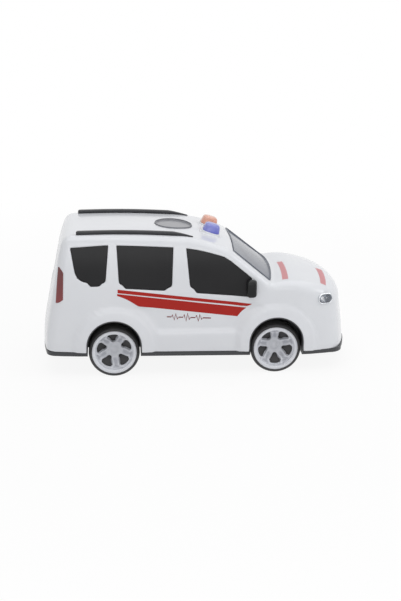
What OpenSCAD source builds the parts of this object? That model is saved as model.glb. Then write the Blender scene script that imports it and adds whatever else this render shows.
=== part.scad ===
// Toy ambulance: a free-rolling moulded van on two steel axles.
// Millimetres. +X points forwards, +Z up, and the origin is on the ground below the middle of the body.

/* [Body] */
// Length of the body from bumper to bumper
body_length = 298; // [292:1:304]
// Width of the body across the doors
body_width = 115; // [113:0.5:117]
// Height of the roof edge above the ground
roof_height = 139.5; // [137:0.5:142]
// Wall thickness of the moulded shell
wall = 2.4; // [2.2:0.1:2.6]
// Lean of the sides from the waist up to the roof
tumblehome = 6.5; // [6:0.25:7]

/* [Wheels and axles] */
// Distance between the two axles
wheelbase = 156; // [154:0.5:158]
// Outer diameter of a tyre
tyre_d = 49; // [48:0.25:49.5]
// Width of a tyre
tyre_w = 19; // [17:0.5:20]
// Diameter of the rim where it meets the tyre
rim_d = 43; // [41:0.5:44]
// Distance between the outer faces of the two wheels on an axle
track = 107; // [104:0.5:108]
// Diameter of the steel axles
axle_d = 4; // [3.5:0.25:4.5]
// Radial running clearance of an axle in its bearings
running_gap = 0.05; // [0.03:0.01:0.09]
// Number of spokes in a rim
spokes = 5; // [4:1:6]
// Room between a tyre and the liner of its wheel arch
tyre_room = 0.9; // [0.7:0.1:1.2]

/* [Chassis] */
// Thickness of the chassis plate whose edge shows below the body
chassis_t = 4; // [3.5:0.25:4.5]
// Height of the flat pad under the chassis
pad_z = 18; // [17:0.25:18.25]
// Diameter of a chassis screw
screw_d = 2.8; // [2.5:0.1:3]

/* [Glazing and trim] */
// Depth of a window pane below the body surface
glass_recess = 0.5; // [0.4:0.1:0.7]
// Gap between a pane or a trim piece and the edge of its opening
fit_gap = 0.3; // [0.25:0.05:0.4]
// Diameter of the roof hatch
hatch_d = 36; // [34:0.5:38]
// Height of a roof rail
rail_h = 3.2; // [2.8:0.2:3.6]
// Width of a roof rail
rail_w = 4; // [3.6:0.2:4.4]
// Height of a beacon lens
beacon_h = 8; // [7:0.5:9]
// Reach of a door mirror from the body side
mirror_reach = 8; // [7:0.5:9]

/* [Hidden] */

// The outline below is drawn for this length and roof height and is stretched to the driving sizes.
drawn_length = 298;
drawn_height = 139.5;
stretch_x = body_length / drawn_length;
stretch_z = roof_height / drawn_height;

// Right is -Y and left is +Y.
RIGHT = -1;
LEFT = 1;

// Wheel positions. The pair of axles sits a little behind the middle of the body.
axle_z = tyre_d / 2;
front_x = wheelbase / 2 - 2.25 * stretch_x;
rear_x = -wheelbase / 2 - 2.25 * stretch_x;
wheel_y = track / 2;

// Wheel arch: a half circle above the axle with straight legs down to the sill.
arch_rise = 7.5;
liner_r = tyre_d / 2 + tyre_room;
arch_r = liner_r + 1;
arch_z = axle_z + arch_rise;
liner_t = 1.8;
well_y = wheel_y - tyre_w - 4;

// The sill line where body and chassis meet falls gently towards the nose.
sill_rear = [-149 * stretch_x, 27];
sill_front = [149 * stretch_x, 22];
sill_tilt = atan((sill_rear[1] - sill_front[1]) / (sill_front[0] - sill_rear[0]));
function sill_z(x) = lookup(x, [sill_rear, sill_front]);
joint_gap = 0.15;

// Side shape: the half width of the body at a place on the side.
waist_z = 60;
shoulder_drop = 8.5;
shoulder_z = drawn_height * stretch_z - shoulder_drop;
lean_power = 2.4;
tuck = 2;
tuck_h = 38;
nose_start = 93 * stretch_x;
nose_l = 35.5 * stretch_x;
nose_draw = 5.3;
tail_start = -107 * stretch_x;
tail_l = 28 * stretch_x;
tail_draw = 2;
function side_w(x, z) = body_width / 2
    - tumblehome * pow(max(0, z - waist_z) / (shoulder_z - waist_z), lean_power)
    - tuck * pow(min(1, max(0, waist_z - z) / tuck_h), 2)
    - nose_draw * pow(max(0, x - nose_start) / nose_l, 2)
    - tail_draw * pow(max(0, tail_start - x) / tail_l, 2);

// Corners of the outline where the sides turn into the top and the ends, from the tail over the roof:
// [x, z, length of the bend, radius of the turn into the side, bow of the middle in x, bow in z].
// The two end corners lie below the sill, and the shell is cut off at the sill line.
TAIL_LOW = [-145.2, -5, 0, 10, -3.8, 0];
TAIL_BUMPER = [-145.2, 40, 14, 10, -3.8, 0];
TAIL_WAIST = [-138.6, 76, 18, 11, -3.4, 0];
TAIL_TOP = [-129.9, 124, 8, 10, -2, 0];
ROOF_REAR = [-125.4, 138.9, 10, 8.5, -1, 0.4];
ROOF_MID = [-66, 139.5, 36, 8.5, 0, 0.6];
ROOF_FRONT = [-2, 135.6, 20, 8.5, 0.3, 0.6];
SCREEN_TOP = [30.5, 124, 7, 6.5, 1.2, 1.2];
SCREEN_BASE = [70.8, 90.3, 3, 6, 5, 2.6];
HOOD_MID = [92, 93.4, 14, 9, 2.5, 1.8];
HOOD_FRONT = [123, 86.2, 11, 11, 5, 3];
NOSE_TOP = [135, 74.6, 8, 13, 7, 1.4];
NOSE_MID = [138.6, 50, 12, 14, 7, 0];
NOSE_LOW = [145, -5, 0, 14, 6.6, 0];
OUTLINE_CORNERS = [
    TAIL_LOW, TAIL_BUMPER, TAIL_WAIST, TAIL_TOP, ROOF_REAR, ROOF_MID, ROOF_FRONT,
    SCREEN_TOP, SCREEN_BASE, HOOD_MID, HOOD_FRONT, NOSE_TOP, NOSE_MID, NOSE_LOW
];
function stretched(c) = [c[0] * stretch_x, c[1] * stretch_z, c[2], c[3], c[4], c[5]];

// Rounding of a closed list of corners: every corner with a bend becomes a short curve.
bend_steps = 3;
function span(a, b) = norm([b[0] - a[0], b[1] - a[1]]);
function toward(a, b, dist) = a + (b - a) * min(0.5, dist / span(a, b));
function curve(a, b, c, t) = a * (1 - t) * (1 - t) + b * 2 * t * (1 - t) + c * t * t;
function rounded_corner(before, at, after) = at[2] == 0
    ? [at]
    : let (a = toward(at, before, at[2]), c = toward(at, after, at[2]))
        [for (k = [0:bend_steps]) curve(a, at, c, k / bend_steps)];
function rounded(list) = let (n = len(list))
    [for (i = [0:n - 1]) each rounded_corner(list[(i + n - 1) % n], list[i], list[(i + 1) % n])];
function subdivided(list, longest) = let (n = len(list))
    [for (i = [0:n - 1])
        let (a = list[i], b = list[(i + 1) % n], parts = ceil(span(a, b) / longest))
        for (k = [0:parts - 1]) a + (b - a) * (k / parts)];
longest_step = 50;
body_line = subdivided(rounded([for (c = OUTLINE_CORNERS) stretched(c)]), longest_step);
line_count = len(body_line);

// Outward direction of the body line at one of its points.
function outward(i) = let (
        a = body_line[(i + line_count - 1) % line_count],
        b = body_line[(i + 1) % line_count],
        along = [b[0] - a[0], b[1] - a[1]] / span(a, b))
    [-along[1], along[0]];

// The surface is a stack of closed rows: across the top, round the edge, then in over the side.
middle = [10 * stretch_x, 66];
function edge_point(i, inset) = [body_line[i][0], body_line[i][1]] - outward(i) * inset;
function turn_end(i) = [body_line[i][0], body_line[i][1]] - outward(i) * body_line[i][3];
function top_half(i) = let (e = turn_end(i)) side_w(e[0], e[1]) - body_line[i][3];
function top_row(t, inset) = [for (i = [0:line_count - 1])
    let (e = edge_point(i, inset), q = body_line[i], bow = 1 - t * t)
    [e[0] + q[4] * bow, t * top_half(i), e[1] + q[5] * bow]];
function turn_row(side, angle, inset) = [for (i = [0:line_count - 1])
    let (r = body_line[i][3] - inset, e = edge_point(i, inset) - outward(i) * r * (1 - cos(angle)))
    [e[0], side * (top_half(i) + r * sin(angle)), e[1]]];
function side_row(side, reach, inset) = [for (i = [0:line_count - 1])
    let (e = middle + (turn_end(i) - middle) * reach)
    [e[0], side * (side_w(e[0], e[1]) - inset), e[1]]];
// The rows lie closer together on the outer surface than inside the shell.
OUTER_ROWS = [[0.25, 0.5, 0.75], [90, 60, 30], [-1, -0.5, 0, 0.5, 1]];
INNER_ROWS = [[0.3, 0.65], [90, 45], [-1, -0.5, 0, 0.5, 1]];
function half_rows(side, inset, steps) = concat(
    [for (reach = steps[0]) side_row(side, reach, inset)],
    [for (angle = steps[1]) turn_row(side, angle, inset)]);
function reversed(list) = [for (i = [len(list) - 1:-1:0]) list[i]];
function body_rows(inset, steps) = concat(
    half_rows(RIGHT, inset, steps),
    [for (t = steps[2]) top_row(t, inset)],
    reversed(half_rows(LEFT, inset, steps)));

// Solid body whose surface lies a given distance inside the outer surface.
module body_solid(inset, steps = OUTER_ROWS) {
    rows = body_rows(inset, steps);
    last = len(rows) - 1;
    hub = side_w(middle[0], middle[1]) - inset;
    points = concat(
        [for (row = rows) each row],
        [[middle[0], RIGHT * hub, middle[1]], [middle[0], LEFT * hub, middle[1]]]);
    right_hub = (last + 1) * line_count;
    skin = [for (k = [0:last - 1], i = [0:line_count - 1])
        let (
            j = (i + 1) % line_count,
            a = k * line_count + i,
            b = k * line_count + j,
            c = (k + 1) * line_count + j,
            d = (k + 1) * line_count + i)
        each [[a, c, b], [a, d, c]]];
    caps = [for (i = [0:line_count - 1])
        let (j = (i + 1) % line_count)
        each [[right_hub, i, j], [right_hub + 1, last * line_count + j, last * line_count + i]]];
    polyhedron(points = points, faces = concat(skin, caps), convexity = 8);
}

// Everything below the sill line, moved down by a gap.
module below_sill(gap) {
    translate([0, 0, sill_z(0) - gap])
        rotate([0, sill_tilt, 0])
            translate([-body_length, -body_width, -100])
                cube([2 * body_length, 2 * body_width, 100]);
}

// Flat outline seen from the side, pushed out along Y on one side of the body.
module side_prism(side, y_near, y_far) {
    translate([0, side > 0 ? y_far : -y_near, 0])
        rotate([90, 0, 0])
            linear_extrude(y_far - y_near)
                children();
}

// Strip under the body side, between two depths below its surface, as long as the body.
module side_strip(side, depth, thickness) {
    low = waist_z + 10;
    levels = [for (k = [0:8]) low + (shoulder_z - low) * k / 8];
    outer = [for (z = levels) [side * (side_w(0, z) - depth), z]];
    inner = [for (z = reversed(levels)) [side * (side_w(0, z) - depth - thickness), z]];
    rotate([90, 0, 90])
        linear_extrude(body_length, center = true)
            polygon(concat(outer, inner));
}

// Side windows: [x, z, bend] seen from the right, with the lower corners stepped up from the sill.
DOOR_WINDOW = [
    [-10.8, 128.6, 1.5], [3.5, 127.2, 6], [15, 124.1, 5], [35.2, 111.4, 8], [51.8, 96.6, 2],
    [48.6, 78.8, 1.5], [-1.5, 83.5, 2], [-3.7, 87.4, 1.5], [-7.4, 89.6, 2.5]
];
MIDDLE_WINDOW = [
    [-76, 130.8, 1.5], [-22.6, 129.8, 1.5], [-24.4, 90.4, 3], [-28.6, 88.8, 1.5], [-31.4, 86.4, 1.5],
    [-68.6, 89.2, 1.5], [-70.8, 92.4, 1.5], [-74.5, 94.2, 3]
];
QUARTER_WINDOW = [
    [-119.3, 128.8, 1.5], [-83.6, 130.7, 1.5], [-86.9, 96, 3], [-90.6, 94.4, 1.5], [-92.8, 91.9, 1.5],
    [-101.3, 91.8, 1.5], [-104.2, 95.6, 1.5], [-110.2, 97, 4], [-115.3, 103, 5]
];
function window_line(corners) = [for (p = rounded([for (c = corners)
    [c[0] * stretch_x, c[1] * stretch_z, c[2]]])) [p[0], p[1]]];

// Glazing for a side window: the pane in its opening and a wider lip behind the wall.
lip = 2;
lip_t = 1.2;
lip_room = 0.7;
side_room = 1.2;
pane_back = 0.6;
side_reach = 25;
module side_window(corners, side) {
    intersection() {
        side_prism(side, body_width / 2 - side_reach, body_width / 2 + 5)
            offset(delta = -fit_gap)
                polygon(window_line(corners));
        side_strip(side, glass_recess, wall + side_room + lip_t - glass_recess);
    }
    // The lip keeps to the flat of the side, below its turn into the roof.
    intersection() {
        side_prism(side, body_width / 2 - side_reach, body_width / 2 + 5)
            offset(delta = lip)
                polygon(window_line(corners));
        side_prism(side, body_width / 2 - side_reach - 1, body_width / 2 + 6)
            polygon([for (i = [0:line_count - 1]) turn_end(i)]);
        side_strip(side, wall + side_room, lip_t);
    }
}

// Place on the top surface between two outline corners: f runs from one to the other, t across the body.
function panel_point(a, b, f, t, inset) = let (
        q = stretched(a) * (1 - f) + stretched(b) * f,
        along = [b[0] * stretch_x - a[0] * stretch_x, (b[1] - a[1]) * stretch_z],
        out = [-along[1], along[0]] / norm(along),
        e = [q[0], q[1]] - out * inset,
        turn = [q[0], q[1]] - out * q[3],
        half = side_w(turn[0], turn[1]) - q[3],
        bow = 1 - t * t)
    [e[0] + q[4] * bow, t * half, e[1] + q[5] * bow];

// Plate that follows the top surface between two outline corners and two depths.
module panel(a, b, f_range, half_t, depth, thickness) {
    f_steps = 4;
    t_steps = 8;
    width = t_steps + 1;
    grid = [for (d = [depth, depth + thickness], k = [0:f_steps], m = [0:t_steps])
        panel_point(a, b, f_range[0] + (f_range[1] - f_range[0]) * k / f_steps,
            half_t * (2 * m / t_steps - 1), d)];
    layer = (f_steps + 1) * width;
    skins = [for (k = [0:f_steps - 1], m = [0:t_steps - 1])
        let (p = k * width + m)
        let (q = layer + p)
        each [
            [p, p + width + 1, p + width],
            [p, p + 1, p + width + 1],
            [q, q + width, q + width + 1],
            [q, q + width + 1, q + 1]
        ]];
    rim = concat(
        [for (m = [0:t_steps - 1]) m],
        [for (k = [0:f_steps - 1]) k * width + t_steps],
        [for (m = [t_steps:-1:1]) f_steps * width + m],
        [for (k = [f_steps:-1:1]) k * width]);
    walls = [for (i = [0:len(rim) - 1])
        let (p = rim[i], q = rim[(i + 1) % len(rim)])
        each [[p, layer + q, q], [p, layer + p, layer + q]]];
    polyhedron(points = grid, faces = concat(skins, walls), convexity = 4);
}

// Openings in the top surface: [first corner, second corner, range along, half range across].
SCREEN_PANEL = [SCREEN_TOP, SCREEN_BASE, [0.09, 0.94], 0.93];
REAR_PANEL = [TAIL_WAIST, TAIL_TOP, [0.24, 0.94], 0.5];
GRILLE_PANEL = [NOSE_TOP, NOSE_MID, [0.4, 0.74], 0.6];
function panel_span(p) = span(stretched(p[0]), stretched(p[1]));
function panel_half(p) = panel_point(p[0], p[1], 0.5, 1, 0)[1];
function grown(p, by) = [p[0], p[1],
    [p[2][0] - by / panel_span(p), p[2][1] + by / panel_span(p)], p[3] + by / panel_half(p)];
module panel_of(p, depth, thickness) {
    panel(p[0], p[1], p[2], p[3], depth, thickness);
}

// Glazing for an opening in the top surface, with a lip behind the wall.
module top_window(p) {
    panel_of(grown(p, -fit_gap), glass_recess, wall + fit_gap + pane_back - glass_recess);
    panel_of(grown(p, lip), wall + lip_room, lip_t);
}

// Roof surface along its middle and where the rails stand.
function roof_line_z(x) = lookup(x, [for (q = body_line) if (q[1] > 110 * stretch_z) [q[0], q[1]]]);
function roof_slope(x) = atan((roof_line_z(x + 1) - roof_line_z(x - 1)) / 2);

// Trim positions.
hatch_x = -19.7 * stretch_x;
rail_y = side_w(0, shoulder_z) - 9;
rail_rear = -113.5 * stretch_x;
rail_front = -3 * stretch_x;
rail_taper = 22 * stretch_x;
rail_pegs = [rail_rear + 8, (rail_rear + rail_front) / 2, rail_front - rail_taper];
peg_r = 1.4;
peg_gap = 0.2;
peg_hole = 24;
beacon_x = 14.6 * stretch_x;
beacon_y = 14.5;
beacon_l = 17;
beacon_w = 15;
beacon_base_h = 2.2;
beacon_lift = 0.7;
beacon_seat = 0.05;
mirror_x = 55.4 * stretch_x;
mirror_z = 88 * stretch_z;
mirror_h = 17;
mirror_l = 9;
mirror_back = 3.2;
mirror_t = 6;
headlight_x = 122.8 * stretch_x;
headlight_z = 74.5 * stretch_z;
headlight_l = 14;
headlight_h = 9.4;
headlight_turn = 18;
lamp_proud = 0.4;
headlight_y = side_w(headlight_x, headlight_z) + lamp_proud;
housing_wall = 1.2;
housing_depth = 6;
lens_room = 0.1;
lens_proud = 0.2;

// Tail lights lie in the rounded rear corners, between these heights.
tail_low = 77 * stretch_z;
tail_high = 111 * stretch_z;
tail_sweep = [56, 92];
tail_proud = 0.5;
tail_t = 3.2;
function tail_axis(z) = let (
        f = (z / stretch_z - TAIL_WAIST[1]) / (TAIL_TOP[1] - TAIL_WAIST[1]),
        q = stretched(TAIL_WAIST) * (1 - f) + stretched(TAIL_TOP) * f)
    [q[0] + q[3], side_w(q[0] + q[3], q[1]) - q[3], q[1]];
tail_r = 10.5;

// Screw posts: a pair behind the rear wheels and a pair before the front wheels.
post_r = 4;
post_y = 28;
POST_PLACES = [for (x = [-116 * stretch_x, 117 * stretch_x], y = [-post_y, post_y]) [x, y]];
screw_head_r = screw_d;
screw_head_h = 1.8;
screw_len = 11;
head_z = 1.9;
thread_room = 0.2;
screw_room = 0.3;
head_room = 0.4;
post_flare = 1.5;

// Moves children to a wheel position.
module at_wheel(x, side) {
    translate([x, side * wheel_y, axle_z])
        rotate([-90 * side, 0, 0])
            children();
}

// Opening in the body over a wheel, with straight legs that reach below the sill.
module arch_opening() {
    hull() {
        translate([0, arch_z])
            circle(arch_r, $fn = 48);
        translate([-arch_r, 0])
            square([2 * arch_r, axle_z]);
    }
}

module body_shell() {
    color("white")
        difference() {
            union() {
                difference() {
                    body_solid(0);
                    body_solid(wall, INNER_ROWS);
                }
                posts();
            }
            below_sill(0);
            side_openings();
            top_openings();
            trim_openings();
        }
}

module posts() {
    intersection() {
        body_solid(wall / 2, INNER_ROWS);
        for (p = POST_PLACES)
            difference() {
                translate([p[0], p[1], sill_z(p[0]) + joint_gap])
                    tapered_post();
                translate([p[0], p[1], 0])
                    cylinder(h = sill_z(p[0]) + screw_len + 2, r = screw_d / 2 + thread_room, $fn = 12);
            }
    }
}

// Post that widens upwards, so that it draws out of its mould.
module tapered_post() {
    hull() {
        cylinder(h = 1, r = post_r, $fn = 10);
        translate([0, 0, roof_height])
            cylinder(h = 1, r = post_r + post_flare, $fn = 10);
    }
}

module side_openings() {
    for (side = [RIGHT, LEFT]) {
        for (corners = [DOOR_WINDOW, MIDDLE_WINDOW, QUARTER_WINDOW])
            side_prism(side, body_width / 2 - side_reach, body_width / 2 + 10)
                polygon(window_line(corners));
        for (x = [front_x, rear_x])
            translate([x, 0, 0])
                side_prism(side, well_y - 2, body_width / 2 + 10)
                    arch_opening();
    }
}

module top_openings() {
    for (p = [SCREEN_PANEL, REAR_PANEL, GRILLE_PANEL])
        panel_of(p, -6, wall + 8);
    translate([hatch_x, 0, roof_line_z(hatch_x) - hatch_d / 2])
        cylinder(h = hatch_d, d = hatch_d, $fn = 48);
}

module trim_openings() {
    for (side = [RIGHT, LEFT]) {
        for (x = rail_pegs)
            translate([x, side * rail_y, roof_line_z(x) - peg_hole / 2])
                cylinder(h = peg_hole, r = peg_r + peg_gap, $fn = 14);
        at_beacon(side)
            translate([0, 0, -8])
                cylinder(h = 12, r = 2 * peg_r + peg_gap, $fn = 18);
        at_mirror(side)
            rotate([0, 90, 0])
                cylinder(h = 20, r = peg_r + peg_gap, center = true, $fn = 14);
        at_headlight(side)
            linear_extrude(20, center = true)
                lamp_opening();
        on_side(side)
            at_tail_light()
                tail_strip(tail_r - 7, tail_r + 5, fit_gap);
    }
}

// Black moulded base with the wheel wells, the axle tunnels and the edge that shows below the body.
module chassis_base() {
    color("#26272a")
        difference() {
            union() {
                chassis_plate();
                for (x = [front_x, rear_x]) {
                    axle_tunnel(x);
                    for (side = [RIGHT, LEFT])
                        wheel_well(x, side);
                }
                flat_pad();
            }
            for (x = [front_x, rear_x]) {
                axle_bore(x);
                for (side = [RIGHT, LEFT])
                    wheel_space(x, side);
            }
            for (p = POST_PLACES)
                screw_hole(p);
        }
}

// Plan of the body at the sill. The front edge stands out a little as a lip under the nose.
front_lip = 0.8;
plan_front = stretched(NOSE_LOW);
plan_rear = stretched(TAIL_LOW);
nose_slant = [for (c = [NOSE_LOW, NOSE_MID]) [c[1] * stretch_z, c[0] * stretch_x]];
nose_at_sill = lookup(sill_front[1], nose_slant);
function plan_end(x, r, bow, way) = let (half = side_w(x - way * r, axle_z) - r)
    concat(
        [for (t = [0.125:0.125:1]) [x + bow * (1 - t * t), t * half]],
        [for (angle = [15:15:90]) [x - way * r * (1 - cos(angle)), half + r * sin(angle)]]);
front_plan = plan_end(nose_at_sill + front_lip, plan_front[3], plan_front[4], 1);
rear_plan = plan_end(plan_rear[0], plan_rear[3], plan_rear[4], -1);
side_plan = [for (k = [0:16]) let (x = (125 - 255 * k / 16) * stretch_x) [x, side_w(x, axle_z)]];
half_plan = concat(front_plan, side_plan, reversed(rear_plan));
body_plan = concat(half_plan, [for (p = reversed(half_plan)) [p[0], -p[1]]]);

// The plate has a rib along each side, between the wheels, that stands just inside the shell.
rib_h = 5;
rib_t = 1.6;
rib_room = 0.6;
rib_y = side_w(0, sill_front[1]) - wall - rib_room;
module chassis_plate() {
    rib_rear = rear_x + liner_r;
    rib_l = front_x - liner_r - rib_rear;
    translate([0, 0, sill_z(0) - joint_gap])
        rotate([0, sill_tilt, 0]) {
            translate([0, 0, -chassis_t])
                linear_extrude(chassis_t)
                    polygon(body_plan);
            for (side = [RIGHT, LEFT])
                translate([rib_rear, side * (rib_y - rib_t / 2) - rib_t / 2, -1])
                    cube([rib_l, rib_t, rib_h + 1]);
        }
}

// Block across the chassis that carries an axle at both of its ends.
tunnel_y = well_y - 1;
tunnel_wall = 3;
tunnel = axle_d + 2 * tunnel_wall;
module axle_tunnel(x) {
    translate([x - tunnel / 2, -tunnel_y, axle_z - tunnel / 2])
        cube([tunnel, 2 * tunnel_y, tunnel]);
}

bearing_l = 8;
bearing_relief = 0.6;
module axle_bore(x) {
    translate([x, 0, axle_z])
        rotate([90, 0, 0]) {
            cylinder(h = 2 * body_width, r = axle_d / 2 + running_gap, center = true, $fn = 48);
            cylinder(h = 2 * (tunnel_y - bearing_l), r = axle_d / 2 + bearing_relief,
                center = true, $fn = 48);
        }
}

// Arched liner over a wheel, closed on its inner side.
module wheel_well(x, side) {
    difference() {
        translate([x, 0, 0])
            side_prism(side, well_y - liner_t, liner_end)
                arch_band(liner_r + liner_t);
        below_sill(joint_gap + chassis_t);
    }
}

liner_room = 1.2;
liner_end = side_w(front_x + liner_r + liner_t, sill_front[1]) - wall - liner_room;
module arch_band(r) {
    translate([0, arch_z])
        circle(r, $fn = 64);
    translate([-r, 0])
        square([2 * r, arch_z]);
}

module wheel_space(x, side) {
    translate([x, 0, 0])
        side_prism(side, well_y, body_width)
            arch_band(liner_r);
}

// Flat pad under the middle of the chassis, level with the ground.
module flat_pad() {
    pad = [56, 40];
    translate([-pad[0] / 2, -pad[1] / 2, pad_z])
        cube([pad[0], pad[1], sill_z(0) - 1 - pad_z]);
}

module screw_hole(p) {
    translate([p[0], p[1], 0])
        cylinder(h = roof_height, r = screw_d / 2 + screw_room, $fn = 32);
    translate([p[0], p[1], 0])
        cylinder(h = screw_seat(p[0]), r = screw_head_r + head_room, $fn = 32);
}

function screw_seat(x) = sill_z(x) - joint_gap - chassis_t + head_z;

module chassis_screws() {
    color("silver")
        for (p = POST_PLACES)
            translate([p[0], p[1], screw_seat(p[0])]) {
                translate([0, 0, -screw_head_h])
                    cylinder(h = screw_head_h, r = screw_head_r, $fn = 32);
                translate([0, 0, -0.1])
                    cylinder(h = screw_len, d = screw_d, $fn = 32);
            }
}

// Steel axle with its ends pressed into the hubs.
hub_depth = 14.5;
hub_face = 10;
module axle(x) {
    color("lightsteelblue")
        translate([x, 0, axle_z])
            rotate([90, 0, 0])
                cylinder(h = track - 2 * hub_depth, d = axle_d, center = true, $fn = 48);
}

module front_axle() {
    axle(front_x);
}

module rear_axle() {
    axle(rear_x);
}

// Dished rim: a barrel with an outer lip, a spoked web set back inside it, and a hub on the axle.
rim_wall = 1.6;
lip_w = 1.6;
web_depth = 5;
dish_depth = 10.6;
web_t = 3.4;
hub_r = 6.5;
axial_play = 0.5;
hub_in = wheel_y - well_y - axial_play;
barrel_r = rim_d / 2 - 1.2;
module rim(x, side) {
    color("gainsboro")
        at_wheel(x, side)
            difference() {
                union() {
                    rim_barrel();
                    rim_web();
                    translate([0, 0, -hub_in])
                        cylinder(h = hub_in - hub_face, r = hub_r, $fn = 48);
                }
                translate([0, 0, -hub_in])
                    cylinder(h = hub_in - hub_depth, d = axle_d, $fn = 48);
            }
}

module rim_barrel() {
    rotate_extrude($fn = 96)
        polygon([
            [barrel_r - rim_wall, -tyre_w + 1], [barrel_r, -tyre_w + 1], [barrel_r, -lip_w],
            [rim_d / 2, -lip_w], [rim_d / 2, -0.4], [rim_d / 2 - 0.4, 0], [barrel_r - 0.4, 0],
            [barrel_r - rim_wall, -1.2]
        ]);
}

// The web is a shallow cone with one opening between each pair of spokes.
module rim_web() {
    hole_in = hub_r + 1.5;
    hole_out = barrel_r - rim_wall - 1;
    hole_half = 110 / spokes;
    tip_half = 8;
    difference() {
        rotate_extrude($fn = 96)
            polygon([
                [hub_r - 1, -dish_depth - web_t], [barrel_r - 0.5, -web_depth - web_t],
                [barrel_r - 0.5, -web_depth], [hub_r - 1, -dish_depth]
            ]);
        translate([0, 0, -tyre_w])
            linear_extrude(tyre_w)
                for (k = [0:spokes - 1])
                    rotate(k * 360 / spokes)
                        polygon([
                            [hole_in * cos(tip_half), -hole_in * sin(tip_half)],
                            each [for (a = [-hole_half:hole_half / 3:hole_half + 0.1])
                                [hole_out * cos(a), hole_out * sin(a)]],
                            [hole_in * cos(tip_half), hole_in * sin(tip_half)]
                        ]);
    }
}

module rim_front_right() {
    rim(front_x, RIGHT);
}

module rim_front_left() {
    rim(front_x, LEFT);
}

module rim_rear_right() {
    rim(rear_x, RIGHT);
}

module rim_rear_left() {
    rim(rear_x, LEFT);
}

// Soft tyre with rounded shoulders, stretched over the rim barrel behind its lip.
shoulder = 2.2;
tyre_inset = 0.4;
tyre_seat = 0.1;
function shoulder_point(a, z) = [tyre_d / 2 - shoulder + shoulder * cos(a), z + shoulder * sin(a)];
module tyre(x, side) {
    color("#2d2d2f")
        at_wheel(x, side)
            rotate_extrude($fn = 96)
                polygon([
                    [barrel_r, -tyre_w],
                    each [for (a = [-90:15:0]) shoulder_point(a, shoulder - tyre_w)],
                    each [for (a = [0:15:75]) shoulder_point(a, -shoulder - tyre_inset)],
                    [rim_d / 2 + tyre_seat, -tyre_inset],
                    [rim_d / 2 + tyre_seat, -lip_w - tyre_seat],
                    [barrel_r, -lip_w - tyre_seat]
                ]);
}

module tyre_front_right() {
    tyre(front_x, RIGHT);
}

module tyre_front_left() {
    tyre(front_x, LEFT);
}

module tyre_rear_right() {
    tyre(rear_x, RIGHT);
}

module tyre_rear_left() {
    tyre(rear_x, LEFT);
}

module windscreen() {
    color("#3a3d42")
        top_window(SCREEN_PANEL);
}

// The rear window is a plate behind its opening.
module rear_window() {
    color("#2b2c2e")
        panel_of(grown(REAR_PANEL, lip), wall + lip_room, lip_t);
}

// Round hatch let into the roof, following its fall towards the front.
module roof_hatch() {
    color("#3a3a3d") {
        hatch_disc(hatch_d - 2 * fit_gap, glass_recess, wall + fit_gap + pane_back);
        hatch_disc(hatch_d + 2 * lip, wall + fit_gap, wall + fit_gap + lip_t);
    }
}

// Disc under the hatch opening, between two depths below the roof.
module hatch_disc(d, top, bottom) {
    reach = d / 2 + 1;
    places = [for (k = [-8:8]) hatch_x + reach * k / 8];
    intersection() {
        translate([hatch_x, 0, roof_line_z(hatch_x) - d / 2])
            cylinder(h = d, d = d, $fn = 64);
        rotate([90, 0, 0])
            linear_extrude(2 * reach, center = true)
                polygon(concat(
                    [for (x = places) [x, roof_line_z(x) - top]],
                    [for (x = reversed(places)) [x, roof_line_z(x) - bottom]]));
    }
}

module door_window_right() {
    color("#2b2c2e")
        side_window(DOOR_WINDOW, RIGHT);
}

module door_window_left() {
    color("#2b2c2e")
        side_window(DOOR_WINDOW, LEFT);
}

module middle_window_right() {
    color("#2b2c2e")
        side_window(MIDDLE_WINDOW, RIGHT);
}

module middle_window_left() {
    color("#2b2c2e")
        side_window(MIDDLE_WINDOW, LEFT);
}

module quarter_window_right() {
    color("#2b2c2e")
        side_window(QUARTER_WINDOW, RIGHT);
}

module quarter_window_left() {
    color("#2b2c2e")
        side_window(QUARTER_WINDOW, LEFT);
}

// Roof rail that tapers to a point at the front, on three pegs through the roof.
rail_tip = 0.15;
rail_lift = 0.4;
function rail_foot(x) = roof_line_z(x) + rail_lift;
function rail_share(x) = min(1, rail_tip + (rail_front - x) / rail_taper);
module roof_rail(side) {
    places = [for (k = [0:12]) rail_rear + (rail_front - rail_rear) * k / 12];
    color("#2f3033") {
        translate([0, side * rail_y, 0])
            rotate([90, 0, 0])
                linear_extrude(rail_w, center = true)
                    polygon(concat(
                        [for (x = places) [x, rail_foot(x) + rail_h * rail_share(x)]],
                        [for (x = reversed(places)) [x, rail_foot(x)]]));
        for (x = rail_pegs)
            translate([x, side * rail_y, roof_line_z(x) - wall - 1])
                cylinder(h = wall + 2, r = peg_r, $fn = 24);
    }
}

module roof_rail_right() {
    roof_rail(RIGHT);
}

module roof_rail_left() {
    roof_rail(LEFT);
}

// Beacons stand on the falling front of the roof.
module at_beacon(side) {
    translate([beacon_x, side * beacon_y, roof_line_z(beacon_x) + beacon_lift])
        rotate([0, -roof_slope(beacon_x), 0])
            children();
}

base_lift = 0.4;
base_rim = 0.6;
beacon_corner = 5;
beacon_taper = 2.4;
module beacon_outline(shrink) {
    offset(r = beacon_corner - shrink, $fn = 32)
        square([beacon_l - 2 * beacon_corner, beacon_w - 2 * beacon_corner], center = true);
}

module beacon_base(side) {
    color("white")
        at_beacon(side) {
            translate([0, 0, base_lift])
                linear_extrude(beacon_base_h - base_lift)
                    beacon_outline(-base_rim);
            translate([0, 0, -wall - 2])
                cylinder(h = wall + 3, r = 2 * peg_r, $fn = 32);
        }
}

module beacon_base_right() {
    beacon_base(RIGHT);
}

module beacon_base_left() {
    beacon_base(LEFT);
}

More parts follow.
